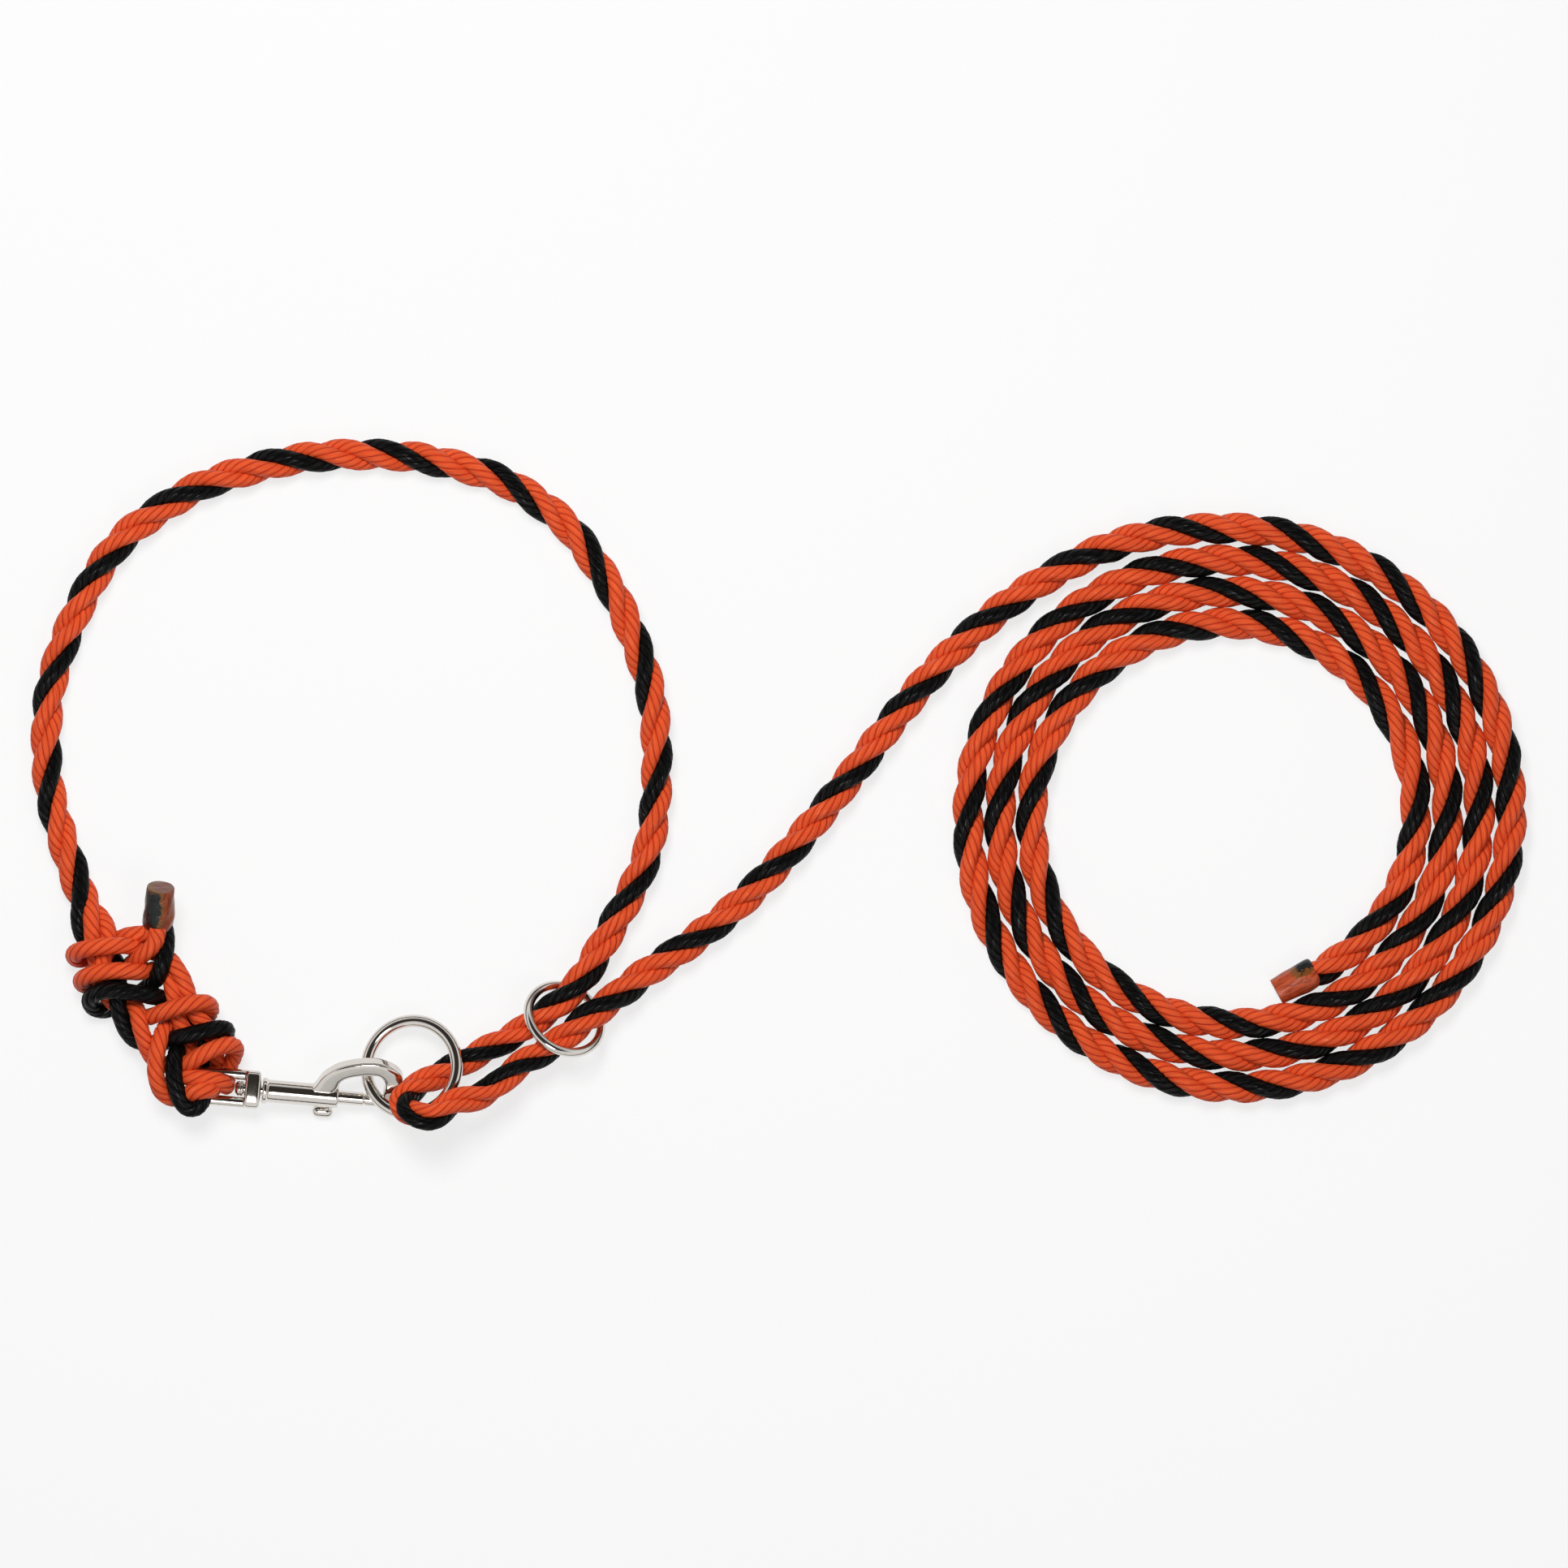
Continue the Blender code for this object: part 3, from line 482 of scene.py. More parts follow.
def fused(name, grids, voxel, smoothing, cutter=None):
    """One casting out of several closed surfaces: joined, remeshed on fine voxels, cut and smoothed."""
    parts = [grid_mesh(f"{name}_{k}", *grid) for k, grid in enumerate(grids)]
    body = parts[0]
    if len(parts) > 1:
        with bpy.context.temp_override(active_object=body, selected_editable_objects=parts):
            bpy.ops.object.join()
    body.name = name
    remesh = body.modifiers.new("fuse", "REMESH")
    remesh.mode = "VOXEL"
    remesh.voxel_size = voxel * MM
    if cutter is not None:
        cut = body.modifiers.new("cut", "BOOLEAN")
        cut.operation = "DIFFERENCE"
        cut.object = cutter
        cut.solver = "EXACT"
    soften = body.modifiers.new("soften", "SMOOTH")
    soften.factor = 0.5
    soften.iterations = smoothing
    mesh = bpy.data.meshes.new_from_object(body.evaluated_get(bpy.context.evaluated_depsgraph_get()))
    body.modifiers.clear()
    body.data = mesh
    mesh.name = name
    mesh.shade_smooth()
    if cutter is not None:
        bpy.data.objects.remove(cutter)
    print(name, len(mesh.polygons), "faces")
    return body


# %% [markdown]
# ## Snap body
# Barrel and hook are one casting. The barrel is turned, with its bore as the inner wall of the same profile.
# The hook is a rounded bar between an outer and an inner outline. After they are joined, the slot for the
# knob's stem is cut through the barrel's wall.

# %% Barrel and hook
HOOK_T = 5.2
HOOK_OUTER = [
    (19.4, 3.4), (20.8, 5.4), (23.1, 10.0), (26.3, 13.5), (29.3, 15.7), (33.5, 17.5), (39.1, 19.0),
    (44.8, 19.3), (49.5, 17.9), (53.0, 15.5), (54.6, 12.5), (53.9, 9.4), (52.3, 5.6), (51.0, 1.8),
    (50.0, -1.4),
]
HOOK_INNER = [
    (28.2, 3.6), (29.6, 5.4), (30.4, 8.2), (32.0, 10.2), (34.7, 11.6), (39.2, 12.9), (43.0, 13.4),
    (45.5, 12.8), (47.4, 10.8), (48.1, 8.0), (47.6, 5.2), (47.3, 2.0), (47.5, -1.4),
]
TIP_FROM, TIP_SPAN = 0.975, 0.026
BARREL = [
    (0.5, 2.3), (0.5, 4.6), (0.9, 5.1), (2.0, 5.1), (2.5, 4.55), (3.0, 4.45), (29.6, 4.45), (30.2, 4.2),
    (30.3, 3.8), (30.3, 2.9), (7.5, 2.9), (7.5, 1.0), (5.2, 1.0), (5.2, 2.3),
]
SLOT_X, SLOT_Y = (15.8, 28.4), -6.0
SLOT_HALF_DEPTH, SLOT_HALF_WIDTH = 4.5, 1.55


def outline(corners, share):
    """The smooth curve through an outline's corners, at shares of its length."""
    curve = even(np.array([(x, y, 0) for x, y in smooth(corners, 8)]), 0.5)
    run = run_of(curve)
    return np.column_stack([np.interp(share, run / run[-1], curve[:, k]) for k in range(3)])


def hook_grid():
    """The bar between the outlines: middle and half width are half their sum and half their difference."""
    share = np.linspace(0, 1, 90)
    outer, inner = outline(HOOK_OUTER, share), outline(HOOK_INNER, share)
    middle, half = (outer + inner) / 2, (outer - inner) / 2
    tip = np.sqrt(np.clip(1 - np.clip((share - TIP_FROM) / TIP_SPAN, 0, 1) ** 2, 0.02, 1))
    width = np.linalg.norm(half, axis=1)
    return swept(middle, half / width[:, None], same((0, 0, 1.0), len(share)), width * tip, HOOK_T / 2 * tip,
                 power=6.0, steps=56)


def slot_cutter():
    """A flat-ended bar through the barrel's far wall, where the knob's stem travels."""
    path = np.column_stack([np.linspace(*SLOT_X, 8), np.full(8, SLOT_Y), np.zeros(8)])
    bar = swept(path, same((0, 1.0, 0), 8), same((0, 0, 1.0), 8), SLOT_HALF_DEPTH, SLOT_HALF_WIDTH, power=8)
    return grid_mesh("slot", in_place(bar, SNAP_FRAME))


barrel_grid = in_place(turned(BARREL), SNAP_FRAME)
snap_body = fused("snap_body_cast", [(barrel_grid, True), (in_place(hook_grid(), SNAP_FRAME),)], 0.22, 2,
                  slot_cutter())
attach(snap_body, "snap")
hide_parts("snap_body")

# %% [markdown]
# ## Bolt, knob and pin
# The bolt is a turned rod with a groove near its tip. The knob is a rounded bar on a stem. The pin's head is
# peened inside the eye, which holds eye and snap together and lets them turn.

# %% Small snap pieces
BOLT = [(23.4, 2.2), (23.8, 2.65), (40.0, 2.65), (40.2, 2.2), (40.7, 2.15), (40.9, 2.5), (46.2, 2.5),
        (46.8, 2.2), (47.0, 1.6)]
PIN = [(-10.2, 1.4), (-10.0, 2.1), (-9.2, 2.8), (-8.4, 3.0), (-8.2, 2.5), (-8.0, 2.5), (-7.9, 3.0),
       (-7.2, 2.9), (-7.0, 2.6), (-7.0, 1.9), (4.6, 1.9)]
KNOB_X, KNOB_Y = 24.9, -7.9
KNOB_HALF = (4.1, 2.2, 2.1)
STEM = [(0.3, 1.25), (7.0, 1.25)]
STEM_AT = (26.6, -0.9, 0)
FINE_VOXEL = 0.16


def divided(profile, per_span=4):
    """The profile with its corners kept and its straight runs divided."""
    p = np.array(profile, float)
    share = np.arange(0, len(p) - 1 + 1e-9, 1 / per_span)
    return np.column_stack([np.interp(share, np.arange(len(p)), p[:, k]) for k in range(2)])


def metal(name, grids, turn, body, node, voxel=FINE_VOXEL, smoothing=2):
    """A metal piece: its surfaces put in place and fused, riding on a body instead of the CAD's solid."""
    obj = fused(name, [(in_place(grid, turn),) for grid in grids], voxel, smoothing)
    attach(obj, body)
    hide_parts(node)
    return obj


def knob_grids():
    """A bar rounded at both ends, and the stem that carries it."""
    share = np.linspace(-1, 1, 24)
    count = len(share)
    long, deep, high = KNOB_HALF
    path = np.column_stack([KNOB_X + long * share, np.full(count, KNOB_Y), np.zeros(count)])
    fall = np.sqrt(np.clip(1 - np.abs(share) ** 4, 0.01, 1))
    bar = swept(path, same((0, 1.0, 0), count), same((0, 0, 1.0), count), deep * fall, high * fall, power=2.4)
    stem = turned(STEM, 32)[..., [1, 0, 2]] * [1, -1, 1] + STEM_AT
    return bar, stem


snap_bolt = metal("bolt_rod", [turned(divided(BOLT))], SNAP_FRAME, "bolt", "snap_bolt")
thumb_knob = metal("knob_bar", knob_grids(), SNAP_FRAME, "bolt", "thumb_knob")
swivel_pin = metal("pin_rivet", [turned(divided(PIN))], SNAP_FRAME, "snap", "swivel_pin")

# %% [markdown]
# ## Spring
# Behind the bolt sits a compression spring, a wire helix along the barrel. It is one circle carried along
# that helix. Drawing the bolt back by 9 mm squashes the spring towards its closed end, from 14.6 to 5.6 mm.

# %% Spring
SPRING_X, SPRING_R, SPRING_WIRE, SPRING_TURNS = (8.2, 22.8), 2.25, 0.6, 7

spring_turn = np.linspace(0, SPRING_TURNS, SPRING_TURNS * 24 + 1)
spring_angle = 2 * np.pi * spring_turn
spring_line = np.column_stack([np.interp(spring_turn, (0, SPRING_TURNS), SPRING_X),
                               SPRING_R * np.cos(spring_angle), SPRING_R * np.sin(spring_angle)])
outwards = unit(spring_line * [0, 1, 1])
crosswise = np.cross(unit(np.gradient(spring_line, axis=0)), outwards)
spring_grid = swept(spring_line, outwards, crosswise, SPRING_WIRE / 2, SPRING_WIRE / 2, steps=12)
spring = grid_mesh("spring_wire", in_place(spring_grid, SNAP_FRAME))
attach(spring, "snap")
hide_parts("bolt_spring")
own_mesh(spring)
print("spring", len(spring.data.polygons), "faces")

# %% [markdown]
# ## Swivel eye
# The eye is a bow of round bar on a block. The bow is a circle carried along a bent path, and the block is a
# rounded section that falls off at its two ends.

# %% Eye
BOW = [(-3.0, 1.0), (-10.0, 1.0), (-17.0, 1.0), (-22.6, 1.0), (-25.6, 0.82), (-27.0, 0.45), (-27.4, 0.0)]
BOW_HALF, BOW_BAR_R = 5.4, 2.1
BLOCK_X, BLOCK_HALF = -3.35, (3.35, 7.5, 4.3)


def bow_grid():
    """A round section along a U-shaped path: one half as given, the other its mirror."""
    bow = np.array(BOW + [(x, -side) for x, side in BOW[-2::-1]]) * [1, BOW_HALF]
    curve = smooth(bow, 10)
    path = even(np.column_stack([curve, np.zeros(len(curve))]), 0.6)
    up = same((0, 0, 1.0), len(path))
    across = np.cross(up, unit(np.gradient(path, axis=0)))
    return swept(path, across, -up, BOW_BAR_R, BOW_BAR_R, steps=28)


def block_grid():
    """A rounded section along x, whose size falls off with the eighth power of the way to its ends."""
    share = np.linspace(-1, 1, 20)
    count = len(share)
    long, wide, high = BLOCK_HALF
    fall = np.clip(1 - np.abs(share) ** 8, 0.02, 1) ** 0.35
    path = np.column_stack([BLOCK_X + long * share, np.zeros(count), np.zeros(count)])
    return swept(path, same((0, 1.0, 0), count), same((0, 0, 1.0), count), wide * fall, high * fall,
                 power=3.6, steps=72)


swivel_eye = metal("eye_bow", [bow_grid(), block_grid()], EYE_FRAME, "rope", "swivel_eye", 0.22, 4)

# %% [markdown]
# ## Rings
# Both rings are bent from wire and welded, and ground smooth at the weld. A ring is a circle carried round a
# circle. The snap ring leans on the fold, and the slide ring stands at a tilt round both legs.

# %% Rings
RING_STEPS = 200
SNAP_RING_R, SNAP_RING_WIRE = 18.3, 4.9
SLIDE_RING_R, SLIDE_RING_WIRE = 15.15, 3.7
SLIDE_TILT = radians(40)
SLIDE_UPHILL = unit(np.array([-0.59, -0.81, 0.0]))


def ring_grid(centre, normal, radius, thick):
    """A torus: the ring's radius along two directions of its plane, plus the wire's radius out and up."""
    normal = unit(np.array(normal, float))
    u = unit(np.cross(normal, [0, 1.0, 0]))
    v = np.cross(normal, u)
    angle = 2 * np.pi * np.arange(RING_STEPS)[:, None] / RING_STEPS
    out = np.cos(angle) * u + np.sin(angle) * v
    return swept(centre + radius * out, out, same(-normal, RING_STEPS), thick / 2, thick / 2, steps=36)


def ring(name, node, at, normal, radius, thick):
    """A ring of wire on the body that has the same name as its CAD solid."""
    obj = grid_mesh(name, ring_grid(plan([at])[0], normal, radius * MM, thick * MM), True)
    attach(obj, node)
    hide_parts(node)
    print(name, "inside", round(2 * radius - thick, 1), "mm")
    return obj


slide_normal = np.array([0, 0, np.cos(SLIDE_TILT)]) - SLIDE_UPHILL * np.sin(SLIDE_TILT)
snap_ring = ring("snap_ring_wire", "snap_ring", (508.0, 1314.5, 12.3), (-0.255, 0.167, 1), SNAP_RING_R,
                 SNAP_RING_WIRE)
slide_ring = ring("slide_ring_wire", "slide_ring", (696.0, 1255.0, 11.75), slide_normal, SLIDE_RING_R,
                  SLIDE_RING_WIRE)

# %% [markdown]
# ## Fused ends
# The rope's ends are melted, so the strands run together into a plug with a flat cut face. The plug starts
# with the three lobes of the rope, loses them along its length, tapers, and is a little lumpy.

# %% Fused ends
PLUG_ROWS, CUT_ROWS, PLUG_STEPS = 40, 10, 72
LOBE, LOBE_TWIST = 0.07, 1.6
LUMP = 0.012
LUMP_WAVES = ((2, 3), (3, -7), (5, 9), (7, 12), (4, 21))
LIP, LIP_REACH = 0.72, 0.35
DENT = 0.25
TAIL_RISE = radians(26)


def plug_grid(start, axis, length, rope_r, cut_r, lobe_turn, seed):
    """A lobed circle along a short axis: lobes fade as it goes, slow waves make it lumpy, and the end closes
    flat with a slight dent."""
    axis = unit(np.array(axis, float))
    side = unit(np.cross(axis, [0, 0, 1.0]))
    up = np.cross(side, axis)
    along = np.concatenate([np.linspace(0, 1, PLUG_ROWS), np.full(CUT_ROWS, 1.0)])[:, None]
    closing = np.concatenate([np.ones(PLUG_ROWS), np.linspace(0.97, 0.05, CUT_ROWS)])[:, None]
    angle = 2 * np.pi * np.arange(PLUG_STEPS)[None] / PLUG_STEPS
    draw = np.random.default_rng(seed)
    lumps = sum(draw.uniform(0.2, 1) * np.sin(k * angle + m * along + draw.uniform(0, 6.3))
                for k, m in LUMP_WAVES)
    lobes = LOBE * np.cos(3 * (angle - lobe_turn - LOBE_TWIST * along)) * (1 - along) ** 1.5
    lip = LIP + (1 - LIP) * np.sqrt(1 - np.clip(1 - along / LIP_REACH, 0, 1) ** 2)
    radius = (rope_r + (cut_r - rope_r) * along) * (1 + lobes + LUMP * lumps) * lip * closing
    dent = DENT * (1 - closing) * np.sin(3 * angle + 1.0) * closing
    place = start + axis * ((along * length + dent)[..., None] * MM)
    across, high = np.cos(angle) * radius, np.sin(angle) * radius
    return place + across[..., None] * side * MM + high[..., None] * up * MM


def fused_end(name, node, *shape):
    """A plug of melted rope: its map's v is 0 to 1 along the side and goes on over the cut face."""
    along = np.concatenate([np.linspace(0, 1, PLUG_ROWS), np.linspace(1, 1.3, CUT_ROWS)])
    obj = grid_mesh(name, plug_grid(*shape), along=along)
    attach(obj, "rope")
    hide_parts(node)
    print(name, len(obj.data.polygons), "faces")
    return obj


lead_from, lead_to = plan([(1621, 1196, ROPE_MIDDLE_MM), (1571.5, 1223, ROPE_MIDDLE_MM)])
lead_end = fused_end("lead_end_plug", "lead_end_seal", lead_from, lead_to - lead_from, 17.5, 6.5, 5.2, 0.4, 5)
tail_from = plan([(196, 1143, 15.0)])[0]
tail_flat = unit(plan([(201, 1092, 0)])[0] - plan([(196, 1142, 0)])[0])
tail_axis = tail_flat * np.cos(TAIL_RISE) + [0, 0, np.sin(TAIL_RISE)]
tail_end = fused_end("tail_end_plug", "tail_end_seal", tail_from, tail_axis, 17.8, 6.5, 5.4, 1.2, 6)

# %% [markdown]
# ## Helpers for materials
# A material is a tree of small nodes. These helpers add one node each and hand back its output, so that a
# finish reads like a formula. Effects that more than one material uses are node groups with named sockets.

# %% Node helpers
def node_group(name, inputs, outputs):
    """An empty shader group: inputs are (name, socket kind, default), outputs are (name, socket kind)."""
    group = bpy.data.node_groups.new(name, "ShaderNodeTree")
    for label, kind, default in inputs:
        socket = group.interface.new_socket(label, in_out="INPUT", socket_type=kind)
        if default is not None:
            socket.default_value = default
    for label, kind in outputs:
        group.interface.new_socket(label, in_out="OUTPUT", socket_type=kind)
    return group, group.nodes.new("NodeGroupInput").outputs, group.nodes.new("NodeGroupOutput").inputs


def feed(tree, value, socket):
    """A link from a socket, or a plain value set on the socket."""
    if isinstance(value, bpy.types.NodeSocket):
        tree.links.new(value, socket)
    else:
        socket.default_value = value


def calc(tree, operation, a, b=0.5, clamp=False):
    """One sum, product or other operation on two values."""
    node = tree.nodes.new("ShaderNodeMath")
    node.operation = operation
    node.use_clamp = clamp
    feed(tree, a, node.inputs[0])
    feed(tree, b, node.inputs[1])
    return node.outputs[0]


def noise(tree, place, scale, detail=2.0, roughness=0.5, distortion=0.0):
    """Cloudy values about a half, at a place times a scale."""
    node = tree.nodes.new("ShaderNodeTexNoise")
    feed(tree, place, node.inputs["Vector"])
    node.inputs["Scale"].default_value = scale
    node.inputs["Detail"].default_value = detail
    node.inputs["Roughness"].default_value = roughness
    node.inputs["Distortion"].default_value = distortion
    return node.outputs["Fac"]


def mix(tree, factor, a, b):
    """Two colours mixed by a factor."""
    node = tree.nodes.new("ShaderNodeMix")
    node.data_type = "RGBA"
    feed(tree, factor, node.inputs["Factor"])
    feed(tree, a, node.inputs["A"])
    feed(tree, b, node.inputs["B"])
    return node.outputs["Result"]


def stretch(tree, value, low, high):
    """A value stretched so that low becomes 0 and high becomes 1, and held there."""
    node = tree.nodes.new("ShaderNodeMapRange")
    feed(tree, value, node.inputs["Value"])
    node.inputs["From Min"].default_value = low
    node.inputs["From Max"].default_value = high
    return node.outputs["Result"]


def vector(tree, x, y, z=0.0):
    """Three values as one vector."""
    node = tree.nodes.new("ShaderNodeCombineXYZ")
    for socket, value in zip(node.inputs, (x, y, z)):
        feed(tree, value, socket)
    return node.outputs[0]


def bump(tree, height, strength, distance):
    """A normal tilted by the slope of a height."""
    node = tree.nodes.new("ShaderNodeBump")
    node.inputs["Strength"].default_value = strength
    node.inputs["Distance"].default_value = distance
    feed(tree, height, node.inputs["Height"])
    return node.outputs["Normal"]


def new_material(name):
    """An empty material: returns the material, its node tree and the inputs of its Principled shader."""
    mat = bpy.data.materials.new(name)
    mat.use_nodes = True
    return mat, mat.node_tree, mat.node_tree.nodes["Principled BSDF"].inputs


def used_effect(tree, effect, socket, place):
    """A node group used in a material, with one of its inputs fed: returns its outputs."""
    node = tree.nodes.new("ShaderNodeGroup")
    node.node_tree = effect
    feed(tree, place, node.inputs[socket])
    return node.outputs


# %% [markdown]
# ## Yarn effect
# Seen close, a yarn is a bundle of fine filaments between two creases. These masks say where the
# materials paint shade in the creases and a highlight on the filaments. All of that follows the strand's own
# map, whose u counts round the yarns and whose v runs along them.

# %% Yarn group
FILAMENTS = 90.0


def yarn_group():
    """Crease is a thin line between two yarns that comes and goes along it, and Hollow is the slope down to
    that
    line: the materials paint shade on both. Streak is noise drawn out along the filaments, where they paint a
    highlight. Shade is a random tone that changes slowly from yarn to yarn."""
    group, given, result = node_group(
        "yarn",
        [("Map", "NodeSocketVector", None), ("Yarns", "NodeSocketFloat", float(YARNS)),
         ("Filaments", "NodeSocketFloat", FILAMENTS)],
        [(label, "NodeSocketFloat") for label in ("Crease", "Hollow", "Streak", "Shade")])
    split = group.nodes.new("ShaderNodeSeparateXYZ")
    feed(group, given["Map"], split.inputs[0])
    u, v = split.outputs[0], split.outputs[1]
    yarn = calc(group, "MULTIPLY", u, given["Yarns"])
    middle = calc(group, "SUBTRACT", calc(group, "FRACT", yarn), 0.5)
    edge = calc(group, "MULTIPLY", calc(group, "ABSOLUTE", middle), 2.0)
    gap = calc(group, "MULTIPLY", calc(group, "ROUND", yarn), 3.7)
    strength = noise(group, vector(group, gap, calc(group, "MULTIPLY", v, 22.0)), 1.0, 1.0)
    line = stretch(group, edge, 0.84, 0.98)
    feed(group, calc(group, "MULTIPLY", line, stretch(group, strength, 0.25, 0.7)), result["Crease"])
    feed(group, calc(group, "POWER", edge, 3.0), result["Hollow"])
    slant = calc(group, "MULTIPLY", v, 26.0)
    across = calc(group, "ADD", calc(group, "MULTIPLY", u, given["Filaments"]), slant)
    lines = noise(group, vector(group, across, calc(group, "MULTIPLY", v, 16.0)), 1.0, 2.5, 0.6)
    feed(group, stretch(group, lines, 0.36, 0.68), result["Streak"])
    apart = calc(group, "MULTIPLY", calc(group, "FLOOR", yarn), 7.31)
    slow = noise(group, vector(group, apart, calc(group, "MULTIPLY", v, 7.0)), 1.0, 1.0)
    feed(group, stretch(group, slow, 0.3, 0.7), result["Shade"])
    return group


yarn_effect = yarn_group()
print("yarn effect", len(yarn_effect.nodes), "nodes")

# %% [markdown]
# ## Yarn
# Poly yarn is glossy. Its colour has painted shade between the yarns: a shadow tone on the slope down into
# each crease and a darker line in it. The lighter filament streaks are a painted highlight. The black yarn
# shows short grey glints along its crowns, which are a clear coat on the streaks.

# %% Yarn materials
def yarn_material(name, deep, shade_and_yarn_tone, body, streak_highlight, glint, gloss):
    """From crown to crease: lighter filament streaks as a painted highlight, the body colour, painted shade
    on the slope of the hollow and a darker painted shade line in the crease. The shade colour also darkens
    some yarns at random, as a yarn tone.
    """
    mat, tree, shader = new_material(name)
    uv = tree.nodes.new("ShaderNodeUVMap")
    uv.uv_map = "along"
    effect = used_effect(tree, yarn_effect, "Map", uv.outputs[0])
    crease, hollow, streak, shade = (effect[label] for label in ("Crease", "Hollow", "Streak", "Shade"))
    # Some yarns are darker at random: a yarn tone towards the shade colour.
    toned = mix(tree, calc(tree, "MULTIPLY", shade, 0.45), (*body, 1), (*shade_and_yarn_tone, 1))
    # Painted highlight: the lighter colour along the filament streaks.
    lit = mix(tree, calc(tree, "MULTIPLY", streak, 0.65), toned, (*streak_highlight, 1))
    # Painted shade: the shade colour on the slope down into each crease.
    hollow_shaded = mix(tree, calc(tree, "MULTIPLY", hollow, 0.85), lit, (*shade_and_yarn_tone, 1))
    # Painted shade: the deep colour in a thin line along each crease.
    feed(tree, mix(tree, crease, hollow_shaded, (*deep, 1)), shader["Base Color"])
    crown = calc(tree, "MULTIPLY", stretch(tree, streak, 0.35, 0.9), calc(tree, "SUBTRACT", 1.0, hollow))
    feed(tree, calc(tree, "MULTIPLY", crown, glint), shader["Coat Weight"])
    feed(tree, bump(tree, calc(tree, "SUBTRACT", streak, crease), 0.5, 0.14 * MM), shader["Normal"])
    shader["Roughness"].default_value = 0.5
    shader["Specular IOR Level"].default_value = gloss
    shader["Coat Roughness"].default_value = 0.22
    shader["Coat IOR"].default_value = 1.45
    print(name, len(tree.nodes), "nodes")
    return mat


# Both yarns get painted shade in their creases and hollows and a painted highlight on their streaks.
orange_yarn = yarn_material("orange_yarn", deep=(0.25, 0.010, 0.006), shade_and_yarn_tone=(0.50, 0.026, 0.010),
                            body=(0.80, 0.074, 0.018), streak_highlight=(0.98, 0.20, 0.055), glint=0.9, gloss=0.12)
black_yarn = yarn_material("black_yarn", deep=(0.001, 0.001, 0.001), shade_and_yarn_tone=(0.0015, 0.0015, 0.0015),
                           body=(0.003, 0.003, 0.003), streak_highlight=(0.006, 0.006, 0.006), glint=1.0, gloss=0.03)
black_strand.data.materials.append(black_yarn)
orange_strand_1.data.materials.append(orange_yarn)
orange_strand_2.data.materials.append(orange_yarn)

# %% [markdown]
# ## Nickel plate
# Bright nickel over a casting: a warm grey mirror, a little uneven, with fine scratches. The spring is bare
# steel, darker and duller, and shares the same wear.

# %% Nickel material
def wear_group():
    """Polish is slow noise in space, Scratch is fine noise drawn out along one direction."""
    group, given, result = node_group(
        "wear", [("Place", "NodeSocketVector", None), ("Fine", "NodeSocketFloat", 900.0)],
        [("Polish", "NodeSocketFloat"), ("Scratch", "NodeSocketFloat")])
    feed(group, noise(group, given["Place"], 160.0, 3.0), result["Polish"])
    split = group.nodes.new("ShaderNodeSeparateXYZ")
    feed(group, given["Place"], split.inputs[0])
    drawn = vector(group, calc(group, "MULTIPLY", split.outputs[0], 120.0),
                   calc(group, "MULTIPLY", split.outputs[1], given["Fine"]),
                   calc(group, "MULTIPLY", split.outputs[2], given["Fine"]))
    feed(group, noise(group, drawn, 1.0, 2.0), result["Scratch"])
    return group


wear_effect = wear_group()


def metal_material(name, colour, dull):
    """A mirror of one colour: polish darkens it by up to a tenth and dulls it, and scratches tilt it."""
    mat, tree, shader = new_material(name)
    place = tree.nodes.new("ShaderNodeTexCoord").outputs["Object"]
    effect = used_effect(tree, wear_effect, "Place", place)
    polish, scratch = effect["Polish"], effect["Scratch"]
    tone = mix(tree, polish, (*colour, 1), tuple(0.9 * c for c in colour) + (1,))
    feed(tree, tone, shader["Base Color"])
    feed(tree, calc(tree, "ADD", calc(tree, "MULTIPLY", polish, 0.12), dull), shader["Roughness"])
    uneven = calc(tree, "ADD", polish, calc(tree, "MULTIPLY", scratch, 0.15))
    feed(tree, bump(tree, uneven, 0.12, 0.2 * MM), shader["Normal"])
    shader["Metallic"].default_value = 1.0
    print(name, len(tree.nodes), "nodes")
    return mat


nickel = metal_material("nickel_plate", (0.76, 0.72, 0.67), 0.04)
for piece in (snap_body, snap_bolt, thumb_knob, swivel_pin, swivel_eye, snap_ring, slide_ring):
    piece.data.materials.clear()
    piece.data.materials.append(nickel)
spring.data.materials.append(metal_material("spring_steel", (0.45, 0.45, 0.46), 0.25))

# %% [markdown]
# ## Melted yarn
# The plugs are melted yarn: glossy, in smears of rust and brown along the plug. Where the black strand melted
# there is a charred black band with a ragged amber edge, and the knife left a plain cut face.

# %% Melted material
BLACK_MELT = (0.006, 0.007, 0.007)
AMBER_MELT = (0.20, 0.085, 0.018)
CUT_FACE = (0.16, 0.05, 0.03)
BAND_EDGE, REACH_EDGE = 0.05, 0.1


